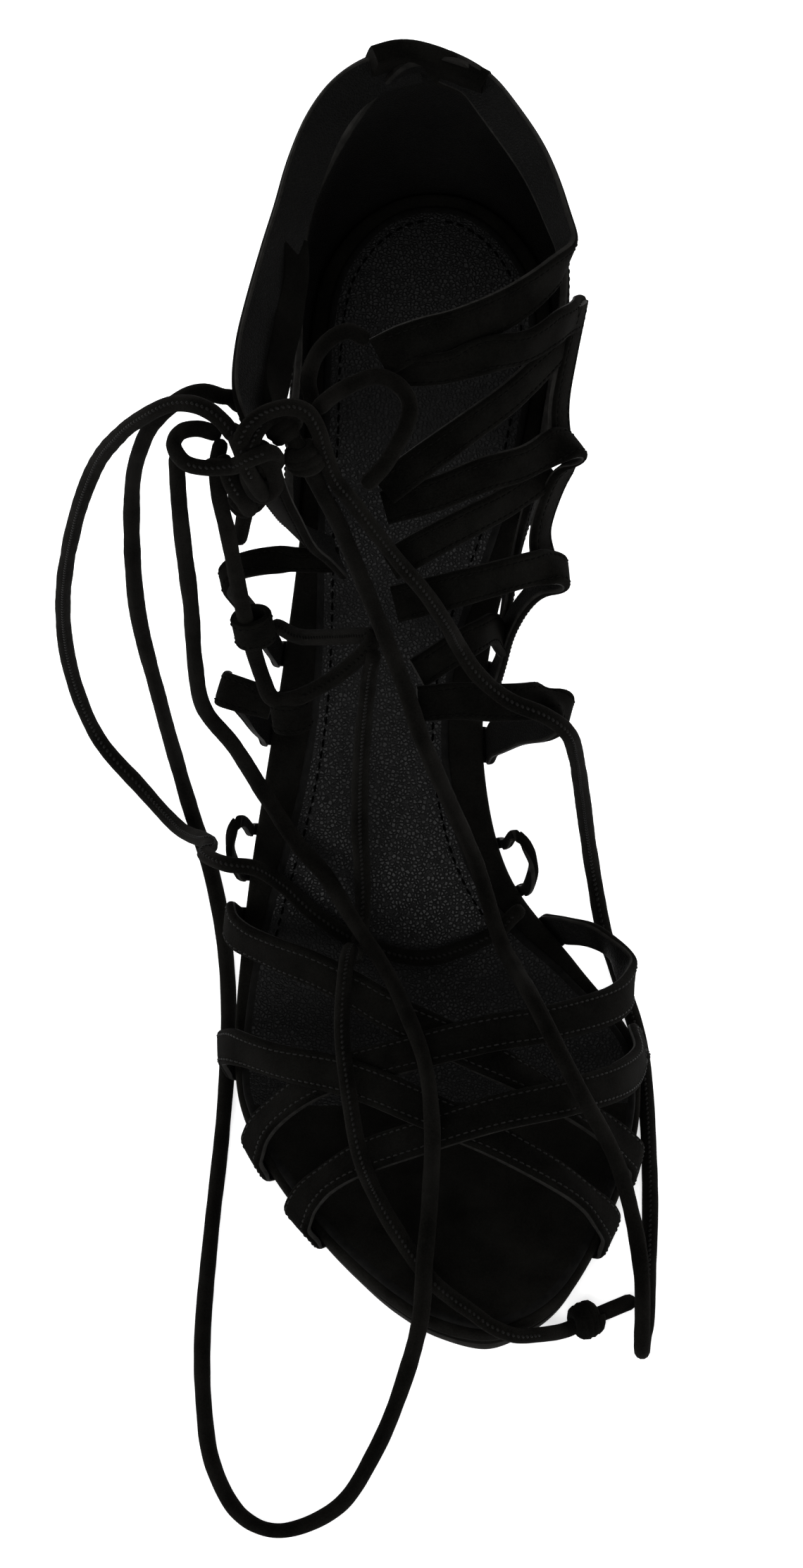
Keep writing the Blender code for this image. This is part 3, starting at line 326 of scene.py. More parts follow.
def units(vectors):
    return np.array([unit(vector) for vector in vectors])


def circle(count):
    """The cosine and the sine of even turns round a circle."""
    angles = [2 * math.pi * k / count for k in range(count)]
    return [(math.cos(angle), math.sin(angle)) for angle in angles]


def smooth(rows, steps, before=None, after=None):
    """A Catmull-Rom curve through the rows, with that many steps between two rows."""
    rows = np.asarray(rows, float)
    before = 2 * rows[0] - rows[1] if before is None else before
    after = 2 * rows[-1] - rows[-2] if after is None else after
    padded = np.vstack([before, rows, after])
    made = []
    for i in range(len(rows) - 1):
        a, b, c, d = padded[i : i + 4]
        for t in np.arange(steps) / steps:
            cubic = (3 * b - a - 3 * c + d) * t**3
            square = (2 * a - 5 * b + 4 * c - d) * t**2
            made.append(b + 0.5 * ((c - a) * t + square + cubic))
    made.append(rows[-1])
    return np.array(made)


def eased(values, times):
    """The values, each drawn that many times towards its neighbours."""
    for _ in range(times):
        values[1:-1] = values[:-2] * 0.25 + values[1:-1] * 0.5 + values[2:] * 0.25
    return values


def directions(places):
    """The direction of the path at each place."""
    ahead = np.roll(places, -1, axis=0)
    behind = np.roll(places, 1, axis=0)
    ahead[-1], behind[0] = places[-1], places[0]
    return units(ahead - behind)


def run_of(places):
    """The distance along the path at each place."""
    steps = np.linalg.norm(np.diff(places, axis=0), axis=1)
    return np.concatenate([[0.0], np.cumsum(steps)])


def at_run(at, run, values):
    """The values at one distance along the path, or at several."""
    return np.stack([np.interp(at, run, column) for column in values.T], axis=-1)


def resampled(spacing, places, *others):
    """The path and what goes with it at even steps."""
    run = run_of(places)
    count = max(2, int(round(run[-1] / spacing)) + 1)
    at = np.linspace(0.0, run[-1], count)
    return [at_run(at, run, values) for values in (places, *others)]


def rolled(vector, axis, degrees):
    angle = math.radians(degrees)
    return (
        vector * math.cos(angle)
        + np.cross(axis, vector) * math.sin(angle)
        + axis * np.dot(axis, vector) * (1 - math.cos(angle))
    )


def wander(places, scale, seed):
    """A slow, repeatable wander between -1 and 1 for each place."""
    places = np.asarray(places, float) / scale
    turn = np.array([[1.0, 1.7, 2.3], [2.1, -1.3, 1.1], [-1.9, 0.7, 2.9]])
    phase = places @ turn.T + np.array([0.3, 1.9, 4.1]) * (seed + 1)
    return np.sin(phase).sum(axis=1) / 3.0


# ---- footbed


def section_rows(steps):
    """The footbed's sections in millimetres: back, lateral edge, medial edge and height."""
    scale = (SHOE_LENGTH, BALL_WIDTH, BALL_WIDTH, HEEL_RISE)
    rows = np.array(SECTIONS) * scale
    swapped = [0, 2, 1, 3]
    rows = smooth(rows, steps, before=rows[1][swapped], after=rows[-2][swapped])
    rows[:, 3] = BALL_HEIGHT + np.maximum(rows[:, 3], 0.0)
    return rows


FINE_STEPS = 16
FINE = section_rows(FINE_STEPS)


def footbed(back):
    return float(np.interp(back, FINE[:, 0], FINE[:, 3]))


def slope(back):
    """The footbed's angle above the level."""
    reach = 1.5
    low, high = max(back - reach, 0.0), min(back + reach, SHOE_LENGTH)
    return math.atan2(footbed(high) - footbed(low), high - low)


def normal_at(back):
    """The direction up from the footbed, square to it."""
    angle = slope(back)
    return np.array([0.0, -math.sin(angle), math.cos(angle)])


def below(side, back, depth):
    """The point at a depth square to the footbed."""
    return np.array([side, back, footbed(back)]) - normal_at(back) * depth


def outline(inset, steps):
    """The footbed's closed outline, moved inwards by inset(back), from the toe tip along the
    medial side to the heel and back along the lateral side."""
    rows = section_rows(steps)
    medial, lateral = rows[:, [2, 0]], rows[:, [1, 0]]
    loop = np.vstack([medial, lateral[-2:0:-1]])
    along = np.roll(loop, -1, axis=0) - np.roll(loop, 1, axis=0)
    along /= np.linalg.norm(along, axis=1)[:, None]
    outward = np.stack([along[:, 1], -along[:, 0]], axis=1)
    moved = np.array([inset(back) for back in loop[:, 1]])
    return loop - outward * moved[:, None]


def flush(back):
    """An inset of nothing, at any back."""
    return 0.0


EDGE = outline(flush, FINE_STEPS)


# ---- materials


class Nodes:
    """A short way to write a material's nodes.  The value of an input is a constant or
    another node's output."""

    def __init__(self, name):
        self.made = bpy.data.materials.new(name)
        self.made.use_nodes = True
        self.tree = self.made.node_tree
        self.place = self.tree.nodes.new("ShaderNodeTexCoord").outputs["Object"]

    def feed(self, node, values):
        for name, value in values.items():
            if isinstance(value, bpy.types.NodeSocket):
                self.tree.links.new(value, node.inputs[name])
            else:
                node.inputs[name].default_value = value

    def new(self, kind, values, **settings):
        node = self.tree.nodes.new("ShaderNode" + kind)
        for name, value in settings.items():
            setattr(node, name, value)
        self.feed(node, values)
        return node

    def noise(self, scale, detail, rough):
        values = {"Vector": self.place, "Scale": scale, "Detail": detail, "Roughness": rough}
        return self.new("TexNoise", values).outputs["Fac"]

    def cells(self, scale, feature):
        values = {"Vector": self.place, "Scale": scale}
        return self.new("TexVoronoi", values, feature=feature).outputs["Distance"]

    def math(self, operation, a, b):
        return self.new("Math", {0: a, 1: b}, operation=operation).outputs[0]

    def mix(self, share, a, b):
        a, b = self.math("MULTIPLY", a, share), self.math("MULTIPLY", b, 1 - share)
        return self.math("ADD", a, b)

    def ramp(self, value, *stops):
        """Two stops, each a place and a colour."""
        node = self.new("ValToRGB", {"Fac": value})
        for element, (at, colour) in zip(node.color_ramp.elements, stops):
            element.position = at
            element.color = (*colour, 1.0)
        return node.outputs["Color"]

    def bump(self, height, strength, distance, **under):
        values = {"Strength": strength, "Distance": distance, "Height": height, **under}
        return self.new("Bump", values).outputs["Normal"]

    def finish(self, **values):
        """The material, with its shader's inputs.  An underscore stands for a space."""
        named = {name.replace("_", " "): value for name, value in values.items()}
        self.feed(self.tree.nodes["Principled BSDF"], named)
        return self.made


def suede(name, deep, light, sheen=0.008, nap=2400.0):
    """Brushed leather: a fine nap over soft blotches where it lies another way."""
    n = Nodes(name)
    patch = n.noise(95.0, 3.0, 0.6)
    tone = n.mix(0.55, patch, n.noise(nap, 3.0, 0.75))
    rough = n.bump(n.noise(nap * 0.8, 4.0, 0.8), 0.7, 0.00026)
    return n.finish(
        Base_Color=n.ramp(tone, (0.36, deep), (0.66, light)),
        Roughness=0.9,
        Specular_IOR_Level=0.01,
        Sheen_Weight=sheen,
        Sheen_Roughness=0.4,
        Sheen_Tint=(0.66, 0.62, 0.58, 1.0),
        Normal=n.bump(patch, 0.3, 0.0007, Normal=rough),
    )


def leather(name, deep, light, rough, grain, specular, depth=0.00064, strength=0.7):
    """Grained leather: small pebbles with creases between them."""
    n = Nodes(name)
    crease = n.cells(grain, "DISTANCE_TO_EDGE")
    tone = n.mix(0.7, n.noise(60.0, 2.0, 0.5), n.cells(grain, "F1"))
    fine = n.bump(n.noise(grain * 3.0, 2.0, 0.6), 0.25, 0.00008)
    return n.finish(
        Base_Color=n.ramp(tone, (0.3, deep), (0.75, light)),
        Roughness=n.ramp(crease, (0.0, (rough + 0.25,) * 3), (0.25, (rough,) * 3)),
        Specular_IOR_Level=specular,
        Normal=n.bump(n.math("MINIMUM", crease, 0.22), strength, depth, Normal=fine),
    )


def plain(name, deep, light, rough, scale=500.0, specular=0.05):
    """A finish with a fine mottle, for thread, rubber and cut edges."""
    n = Nodes(name)
    return n.finish(
        Base_Color=n.ramp(n.noise(scale, 4.0, 0.65), (0.35, deep), (0.68, light)),
        Roughness=rough,
        Specular_IOR_Level=specular,
        Normal=n.bump(n.noise(scale * 2.5, 3.0, 0.6), 0.5, 0.00008),
    )


THREAD_GRAIN = 2500.0
SUEDE = suede("suede_upper", (0.0008, 0.00078, 0.00065), (0.0033, 0.0032, 0.0028))
SUEDE_INSOLE = suede("suede_insole", (0.0016, 0.00155, 0.0013), (0.0050, 0.0048, 0.0042), 0.010)
SUEDE_LACE = suede("suede_lace", (0.0011, 0.00107, 0.0009), (0.0044, 0.0042, 0.0037), 0.011,
                   2900.0)
SUEDE_HEEL = suede("suede_heel", (0.0010, 0.00098, 0.0008), (0.0040, 0.0039, 0.0034))
SOCK = leather("sock_pebble", (0.0010, 0.0010, 0.0010), (0.0024, 0.0024, 0.0023), 0.42, 1300.0,
               0.14, 0.00072, 0.8)
SOCK_EDGE = plain("sock_edge", (0.0011, 0.0011, 0.0010), (0.0030, 0.0029, 0.0027), 0.7)
LINING = leather("strap_lining", (0.0016, 0.0016, 0.0015), (0.0034, 0.0033, 0.0031), 0.5, 1700.0,
                 0.05)
CUT_EDGE = plain("cut_edge", (0.0040, 0.0038, 0.0034), (0.0100, 0.0095, 0.0086), 0.6)
DARK_EDGE = plain("dark_edge", (0.0040, 0.0037, 0.0032), (0.0095, 0.0088, 0.0078), 0.65)
THREAD = plain("thread", (0.0034, 0.0033, 0.0031), (0.0095, 0.0093, 0.0088), 0.55, THREAD_GRAIN)
DARK_THREAD = plain("dark_thread", (0.0010, 0.0010, 0.0009), (0.0034, 0.0033, 0.0030), 0.8,
                    THREAD_GRAIN, 0.01)
LACE_THREAD = plain("lace_thread", (0.0023, 0.0022, 0.0021), (0.0066, 0.0064, 0.0060), 0.55,
                    THREAD_GRAIN)
SOCK_THREAD = plain("sock_thread", (0.0004, 0.0004, 0.0004), (0.0012, 0.0012, 0.0011), 0.8,
                    THREAD_GRAIN, 0.0)
SOLE_LEATHER = leather("sole_leather", (0.0026, 0.0026, 0.0025), (0.0056, 0.0054, 0.0052), 0.6,
                       700.0, 0.03)
RUBBER = plain("heel_rubber", (0.0035, 0.0035, 0.0034), (0.0070, 0.0070, 0.0068), 0.7)


# ---- meshes


def in_frame(places):
    """Shoe coordinates as metres in the shared frame."""
    return (np.asarray(places, float) - (MIDDLE_SIDE, MIDDLE_BACK, 0.0)) * MM


def linked(name, data):
    """An object of that data, in the scene."""
    made = bpy.data.objects.new(name, data)
    bpy.context.scene.collection.objects.link(made)
    return made


def piece(name, points, faces, zones, finishes, node=None, slot="suede", shade=40.0):
    """A piece of the shoe from points in shoe coordinates, on the root body."""
    mesh = bpy.data.meshes.new(name)
    mesh.from_pydata(in_frame(points).tolist(), [], faces)
    for finish in finishes:
        mesh.materials.append(finish)
    mesh.polygons.foreach_set("material_index", zones)
    shaped = bmesh.new()
    shaped.from_mesh(mesh)
    bmesh.ops.recalc_face_normals(shaped, faces=shaped.faces)
    shaped.to_mesh(mesh)
    shaped.free()
    mesh.shade_smooth()
    mesh.set_sharp_from_angle(angle=math.radians(shade))
    made = linked(name, mesh)
    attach(made, "root")
    if node is not None:
        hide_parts(node)
    return made


class Heap:
    """Several bodies gathered into one piece."""

    def __init__(self):
        self.points, self.faces, self.zones, self.count = [], [], [], 0

    def add(self, points, faces, zones):
        self.points.append(points)
        self.faces += [tuple(k + self.count for k in f) for f in faces]
        self.zones += zones
        self.count += len(points)

    def piece(self, name, finishes, node=None, slot="suede", shade=40.0):
        points = np.vstack(self.points)
        return piece(name, points, self.faces, self.zones, finishes, node, slot, shade)


def rings_body(rings, zones=None, ends=0, closed=False):
    """A body through rings of points.  Zones gives the material of each side of a ring."""
    size = len(rings[0])
    zones = zones or [0] * size
    points = np.array(rings, float).reshape(-1, 3)
    faces, marks = [], []
    for r in range(len(rings) if closed else len(rings) - 1):
        a, b = r * size, ((r + 1) % len(rings)) * size
        for i in range(size):
            j = (i + 1) % size
            faces.append((a + i, a + j, b + j, b + i))
            marks.append(zones[i])
    if not closed:
        for base, ring in ((0, rings[0]), ((len(rings) - 1) * size, rings[-1])):
            hub = len(points)
            points = np.vstack([points, np.array(ring, float).mean(axis=0)])
            for i in range(size):
                faces.append((base + i, base + (i + 1) % size, hub))
                marks.append(ends)
    return points, faces, marks


def stitch(heap, centre, along, across, up, zone, length, radius):
    """One stitch: a short rounded bar whose ends dive into the leather."""
    rings = []
    for share, wide, high in STITCH_SHAPE:
        middle = centre + along * length * share + up * radius * high
        rings.append([middle + (across * c + up * s) * radius * wide
                      for c, s in circle(STITCH_SIDES)])
    heap.add(*rings_body(rings, [zone] * STITCH_SIDES, zone))


def stitch_row(heap, places, ups, zone=0, pitch=STITCH_PITCH, length=STITCH_LENGTH,
               radius=THREAD_RADIUS, slant=0.0, start=0.0, end=0.0):
    """Stitches along a line on a surface, each a little out of true."""
    reach = 0.4
    run = run_of(places)
    for i in range(int((run[-1] - start - end) / pitch)):
        at = start + (i + 0.5) * pitch
        up = unit(at_run(at, run, ups))
        along = unit(at_run(at + reach, run, places) - at_run(at - reach, run, places))
        across = unit(np.cross(along, up))
        lean = slant + 0.06 * math.sin(i * 2.4 + len(heap.zones) * 0.1)
        turned = unit(along + across * lean)
        across = unit(np.cross(turned, up))
        stitch(heap, at_run(at, run, places), turned, across, up, zone, length, radius)


# ---- sole parts

PLATE_STEPS = 14
RING_STEPS = 10


def plate(name, profile, inset, columns, zones, finishes, node, slot, front=None):
    """A plate that follows the footbed.  Profile is a row of (inwards, depth) round its edge
    from the top to the bottom.  In front of the place called front, the top has the last
    finish."""
    rings = [outline(lambda back, m=moved: inset(back) + m, PLATE_STEPS) for moved, _ in profile]
    count = len(rings[0])
    half = count // 2
    points, faces, marks = [], [], []
    for ring, (_, depth) in zip(rings, profile):
        points += [below(*p, depth) for p in ring]
    for level in range(len(profile) - 1):
        a, b = level * count, (level + 1) * count
        for i in range(count):
            j = (i + 1) % count
            faces.append((a + i, b + i, b + j, a + j))
            marks.append(zones[1])
    for level, zone in ((0, zones[0]), (len(profile) - 1, zones[2])):
        ring, depth = rings[level], profile[level][1]
        base = level * count
        rows = []
        for i in range(half + 1):
            left, right = ring[(count - i) % count], ring[i]
            row = [base + (count - i) % count]
            if 0 < i < half:
                for share in np.arange(1, columns) / columns:
                    points.append(below(*(left * (1 - share) + right * share), depth))
                    row.append(len(points) - 1)
                row.append(base + i)
            rows.append(row)
        for low, high in zip(rows[:-1], rows[1:]):
            if len(low) == 1 or len(high) == 1:
                tip, wide = (low, high) if len(low) == 1 else (high, low)
                faces += [(tip[0], a, b) for a, b in zip(wide[:-1], wide[1:])]
            else:
                faces += [(low[k], low[k + 1], high[k + 1], high[k]) for k in range(columns)]
            marks += [zone] * columns
    points = np.array(points, float)
    if front is not None:
        for i, face in enumerate(faces):
            if marks[i] == zones[0] and points[list(face), 1].mean() < front:
                marks[i] = len(finishes) - 1
    piece(name, points, faces, marks, finishes, node, slot)


SOCK_FRONT = 58.0
SOCK_SHOULDER = (60.0, 95.0)
SOCK_WAIST = (84.0, 160.0)
SOCK_INSETS = (1.0, 2.0, 4.0)
OUTSOLE_WAIST = (80.0, 168.0)
OUTSOLE_WAIST_INSET = 2.2


def waist_share(back, start, end):
    """1 in the middle of the waist and 0 outside it."""
    share = (back - start) / (end - start)
    return math.sin(math.pi * share) ** 2 if 0.0 < share < 1.0 else 0.0


def sock_inset(back):
    """The sock is narrower behind its shoulder, and again at the waist."""
    start, end = SOCK_SHOULDER
    behind = min(max((back - start) / (end - start), 0.0), 1.0)
    at_toe, at_shoulder, at_waist = SOCK_INSETS
    return at_toe + at_shoulder * behind + at_waist * waist_share(back, *SOCK_WAIST)


def outsole_inset(back):
    return OUTSOLE_INSET + OUTSOLE_WAIST_INSET * waist_share(back, *OUTSOLE_WAIST)


def make_sole():
    top, bottom = INSOLE_DEPTHS
    edge = ((1.0, top), (0.45, top + 0.06), (0.12, top + 0.35), (0.0, top + 0.9),
            (0.0, bottom - 0.8), (0.15, bottom - 0.3), (0.6, bottom))
    plate("insole_suede", edge, flush, 10, (0, 0, 0), [SUEDE_INSOLE], "insole", "suede")
    top, bottom = SOCK_DEPTHS
    edge = ((1.5, top + 0.02), (0.7, top + 0.08), (0.25, top + 0.25), (0.05, top + 0.5),
            (0.0, bottom - 0.05), (0.1, bottom))
    plate("sock_leather", edge, sock_inset, 18, (0, 1, 0), [SOCK, SOCK_EDGE, SUEDE_INSOLE],
          "sock", "sock_leather", SOCK_FRONT)
    top, bottom = OUTSOLE_DEPTHS
    edge = ((0.9, top), (0.2, top + 0.15), (0.0, top + 0.5), (0.0, bottom - 0.7),
            (0.2, bottom - 0.25), (0.8, bottom))
    plate("outsole_leather", edge, outsole_inset, 8, (1, 1, 0), [SOLE_LEATHER, DARK_EDGE],
          "outsole", "sole_leather")


SOCK_ROW_INSET = 3.2
SOCK_ROW_FRONT = 92.0


def make_sock_stitches():
    """The sock's stitched line, inside its edge."""
    threads = Heap()
    loop = outline(lambda back: sock_inset(back) + SOCK_ROW_INSET, PLATE_STEPS)
    half = len(loop) // 2
    for side in (loop[:half], loop[half:][::-1]):
        kept = [p for p in side if p[1] > SOCK_ROW_FRONT]
        line = np.array([below(*p, SOCK_DEPTHS[0] - 0.12) for p in kept])
        ups = np.array([below(*p, -1.0) - below(*p, 0.0) for p in kept])
        stitch_row(threads, line, ups, **SOCK_STITCH)
    threads.piece("sock_stitches", [SOCK_THREAD], slot="suede")


SEAT_STEPS = 30
TOP_PIECE_PROFILE = (
    # height, outwards
    (0.0, -0.25), (0.3, 0.0), (TOP_PIECE_HEIGHT - 0.2, 0.0), (TOP_PIECE_HEIGHT, -0.12),
)


def seat_ring(front, rear, width):
    """One section of the heel: its breast is straight, and its rear is round."""
    _, seat_front, seat_rear, _ = HEEL_SECTIONS[0]
    lateral, medial = [], []
    for i in range(SEAT_STEPS + 1):
        along = 1 - (1 - i / SEAT_STEPS) ** 1.5
        seat_back = seat_front + along * (seat_rear - seat_front)
        back = front + along * (rear - front)
        for side, column in ((lateral, 1), (medial, 2)):
            side.append((np.interp(seat_back, FINE[:, 0], FINE[:, column]) * width, back))
    return lateral + medial[::-1]


def make_heel():
    floor = TOP_PIECE_HEIGHT + GAP
    rings = []
    for down, front, rear, width in smooth(HEEL_SECTIONS, 8):
        ring = []
        for side, back in seat_ring(front, rear, width):
            seat = below(side, back, OUTSOLE_DEPTHS[1] + GAP)
            height = seat[2] + (floor - seat[2]) * down
            ring.append((side, back + (seat[1] - back) * (1 - down), height))
        rings.append(ring)
    piece("heel_suede", *rings_body(rings), [SUEDE_HEEL], "heel", "suede", 55.0)
    _, front, rear, width = HEEL_SECTIONS[-1]
    rings = []
    for height, grow in TOP_PIECE_PROFILE:
        ring = seat_ring(front - GAP - grow, rear + GAP + grow, width * (1.05 + grow * 0.05))
        rings.append([(side, back, height) for side, back in ring])
    piece("heel_tip_rubber", *rings_body(rings), [RUBBER], "heel_tip", "rubber", 40.0)


# ---- upper


def facing(point):
    """The direction from the nearest place on the foot's axis to the point."""
    axis = np.array(FOOT_AXIS)
    best = None
    for a, b in zip(axis[:-1], axis[1:]):
        share = np.clip(np.dot(point - a, b - a) / np.dot(b - a, b - a), 0.0, 1.0)
        near = a + share * (b - a)
        if best is None or np.linalg.norm(point - near) < np.linalg.norm(point - best):
            best = near
    return unit(point - best)


def edge_frame(medial, back):
    """The insole's edge at a back: its place, its outward direction and its normal."""
    half = len(FINE) - 1
    along = float(np.interp(back, FINE[:, 0], np.arange(half + 1)))
    key = along if medial else 2 * half - along
    closed = np.vstack([EDGE, EDGE[:1]])
    reach = 6
    behind, place, ahead = (
        below(*at_run((key + step) % len(EDGE), np.arange(len(closed)), closed), 0.0)
        for step in (-reach, 0, reach)
    )
    normal = normal_at(back)
    return place, unit(np.cross(ahead - behind, normal)), normal


# The end of a strap that turns under the insole.
FOOT_SHAPE = (
    # outward, depth, facing outward, facing down, thickness
    (-6.5, MARGIN_MIDDLE, 0.0, 1.0, 0.7), (-0.8, MARGIN_MIDDLE, 0.0, 1.0, 0.7),
    (0.75, 3.75, 0.4, 1.0, 0.8), (1.35, 2.7, 1.0, 0.5, 1.3), (1.40, 1.0, 1.0, 0.0, STRAP_THICK),
)


def foot_rows(medial, back):
    """A strap's foot: places, facings, thicknesses and the direction of the edge there."""
    place, outward, normal = edge_frame(medial, back)
    places = [place + outward * out - normal * depth for out, depth, *_ in FOOT_SHAPE]
    outs = [unit(outward * level - normal * down) for _, _, level, down, _ in FOOT_SHAPE]
    return places, outs, [row[4:] for row in FOOT_SHAPE], np.cross(normal, outward)


# How sharp a bend is, per millimetre, when a strap starts to fold and how much more makes a
# whole fold.
FOLD_START = 0.04
FOLD_RANGE = 0.10
STRAP_STEPS = 6
STRAP_STATION = 0.9


def folded(places, outs):
    """Where the path bends sharply the strap folds over, so it faces away from the bend."""
    steps = np.diff(places, axis=0)
    lengths = np.linalg.norm(steps, axis=1)
    headings = steps / lengths[:, None]
    made = outs.copy()
    for i in range(1, len(places) - 1):
        bend = (headings[i - 1] - headings[i]) * 2 / (lengths[i - 1] + lengths[i])
        sharp = np.clip((np.linalg.norm(bend) - FOLD_START) / FOLD_RANGE, 0.0, 1.0)
        away = unit(bend) * (1.0 if bend @ outs[i] >= 0 else -1.0)
        made[i] = unit(outs[i] * (1 - sharp) + away * sharp)
    return eased(made, 3)


def strap_path(rows, feet, folds):
    """The strap's places, facings, foot shares and width directions, as the solid's."""
    rows = np.array([(*row, 0)[:4] for row in rows], float)
    marks = np.array([(side, back, footbed(back) + rise) for side, back, rise, _ in rows])
    outs = np.array([facing(mark) for mark in marks])
    fine = smooth(np.hstack([marks, outs, rows[:, 3:]]), STRAP_STEPS)
    places, outs, turns = fine[:, :3], fine[:, 3:6], fine[:, 6]
    run = run_of(places)
    ends = {
        end: foot_rows(row[0] > 0, row[1])
        for end, row in (("start", rows[0]), ("end", rows[-1])) if feet in (end, "both")
    }
    holds = np.zeros((len(places), 4))
    for end, (_, foot_outs, _, edge) in ends.items():
        gone = run if end == "start" else run[-1] - run
        for i, distance in enumerate(gone):
            near = max(0.0, 1.0 - distance / EDGE_REACH)
            if near > 0:
                outs[i] = unit(unit(outs[i]) * (1 - near) + foot_outs[-1] * near)
                holds[i] = (*edge, near)
    if folds:
        outs = folded(places, outs)
    along = directions(places)
    outs = np.array([rolled(unit(o), a, t) for o, a, t in zip(outs, along, turns)])
    return places, outs, holds, ends


def strap_frames(rows, feet, thick, folds):
    """Even stations along a strap: place, across, out and thickness."""
    places, outs, holds, ends = strap_path(rows, feet, folds)
    body = [places, outs, np.full((len(places), 1), thick), holds]
    for end, (*foot, edge) in ends.items():
        foot.append([(*edge, 1.0)] * len(FOOT_SHAPE))
        if end == "start":
            body = [np.vstack([low, high]) for low, high in zip(foot, body)]
        else:
            body = [np.vstack([low, high[::-1]]) for low, high in zip(body, foot)]
    places, outs, sizes, holds = resampled(STRAP_STATION, *body)
    places = eased(places, 2)
    along = directions(places)
    acrosses, ups = [], []
    for i in range(len(places)):
        across = unit(np.cross(along[i], outs[i]))
        edge, hold = holds[i, :3], holds[i, 3]
        if hold > 0.001 and np.linalg.norm(edge) > 1e-6:
            edge = unit(edge)
            signed = edge if edge @ across > 0 else -edge
            across = unit(across * (1 - hold) + signed * hold)
        acrosses.append(across)
        ups.append(unit(np.cross(across, along[i])))
    acrosses, ups = (units(eased(np.array(ways), 2)) for ways in (acrosses, ups))
    return places, acrosses, ups, sizes[:, 0]


# A strap's section: share of the half width less an inset in millimetres, share of the half
# thickness, and the material zone of the side that starts there (0 suede, 1 cut edge,
# 2 lining).
STRAP_SECTION = (
    # share across, inset, share of thickness, zone
    (-1, 0.55, -1, 2), (-0.5, 0, -1, 2), (0, 0, -1, 2), (0.5, 0, -1, 2), (1, 0.55, -1, 2),
    (1, 0.10, -0.90, 1), (1, 0, -0.45, 1), (1, 0.02, 0.10, 0), (1, 0.14, 0.55, 0),
    (1, 0.42, 0.86, 0), (1, 0.80, 0.98, 0), (1, 1.15, 0.84, 0), (1, 1.55, 1, 0),
    (0.45, 0, 1.06, 0), (0, 0, 1.08, 0), (-0.45, 0, 1.06, 0), (-1, 1.55, 1, 0),
    (-1, 1.15, 0.84, 0), (-1, 0.80, 0.98, 0), (-1, 0.42, 0.86, 0), (-1, 0.14, 0.55, 0),
    (-1, 0.02, 0.10, 0), (-1, 0, -0.45, 1), (-1, 0.10, -0.90, 1),
)
NARROWEST_SEWN = 5.0
ROW_START_AT_FOOT = 7.5
ROW_START = 1.2


def make_strap(upper, threads, tone, zones, seed, rows, feet="", width=STRAP_WIDTH,
               thick=STRAP_THICK, folds=True):
    """One strap, and its two rows of stitches if it is wide enough."""
    places, acrosses, ups, sizes = strap_frames(rows, feet, thick, folds)
    waver = wander(places, 9.0, seed) * 0.10
    halves = width / 2 + wander(places, 13.0, seed + 5) * 0.12
    rings = []
    for place, side, up, half, size, wave in zip(places, acrosses, ups, halves, sizes, waver):
        ring = []
        for share, inset, high, _ in STRAP_SECTION:
            sideways = share * half - math.copysign(inset, share) if share else 0.0
            lift = wave * (1 - abs(share)) * min(size / STRAP_THICK, 1.0)
            ring.append(place + side * sideways + up * (high * size / 2 + lift))
        rings.append(ring)
    upper.add(*rings_body(rings, [zones[row[3]] for row in STRAP_SECTION], zones[1]))
    if width < NARROWEST_SEWN:
        return
    start = ROW_START_AT_FOOT if feet in ("start", "both") else ROW_START
    end = ROW_START_AT_FOOT if feet in ("end", "both") else ROW_START
    surface = ups * (sizes * 0.42 + 0.10)[:, None]
    for side in (-1.0, 1.0):
        line = places + acrosses * side * (halves - ROW_INSET)[:, None] + surface
        stitch_row(threads, line, ups, tone, start=start, end=end)


COUNTER_FRONT = 156.0
MARGIN_INSET = 0.7
MARGIN_OUT_AT_COUNTER = 1.0
MARGIN_WIDTH = 9.0


def make_margin(upper):
    """The lasting margin, a flat ring between the insole and the outsole."""
    outer = outline(
        lambda back: MARGIN_INSET if back < COUNTER_FRONT else -MARGIN_OUT_AT_COUNTER, RING_STEPS
    )
    inner = outline(lambda back: MARGIN_WIDTH, RING_STEPS)
    top, bottom = MARGIN_DEPTHS
    rings = [
        [below(*out, top), below(*out, bottom), below(*within, bottom), below(*within, top)]
        for out, within in zip(outer, inner)
    ]
    upper.add(*rings_body(rings, closed=True))


def counter_stations():
    """The places round the counter, from wing to wing: is it medial, and its back."""
    first, last = COUNTER_EDGE[0][0], 2 * SHOE_LENGTH - COUNTER_EDGE[-1][0]
    after_wing, before_heel = 0.4, SHOE_LENGTH - 0.25
    backs = section_rows(RING_STEPS)[:, 0]
    lateral = [(False, back) for back in backs if first + after_wing < back < before_heel]
    medial = [(True, back) for back in backs if last + after_wing < back < before_heel]
    return [(False, first), *lateral, (True, SHOE_LENGTH), *medial[::-1], (True, last)]


def counter_out(rise):
    """How far the counter's inside stands out from the insole's edge."""
    bulge = COUNTER_BULGE * math.sin(math.pi * rise / COUNTER_BULGE_HEIGHT)
    return COUNTER_GAP + bulge - COUNTER_LEAN * rise**2


# Shares of the counter's height, and how its top edge is rounded.
COUNTER_LEVELS = (1.0, 0.985, 0.96, 0.9, 0.8, 0.7, 0.6, 0.5, 0.4, 0.3, 0.2, 0.12, 0.04)
COUNTER_ROUNDING = {
    # share: inwards, down
    1.0: (0.45, 0.0),
    0.985: (0.16, -0.05),
}
FLANGE_DEPTHS = (3.45, 4.15)
FLANGE_REACH = 6.5
FLANGE_CORNER = 1.6
COUNTER_ROW_DROP = 1.6
COUNTER_ROW_ENDS = 2.0


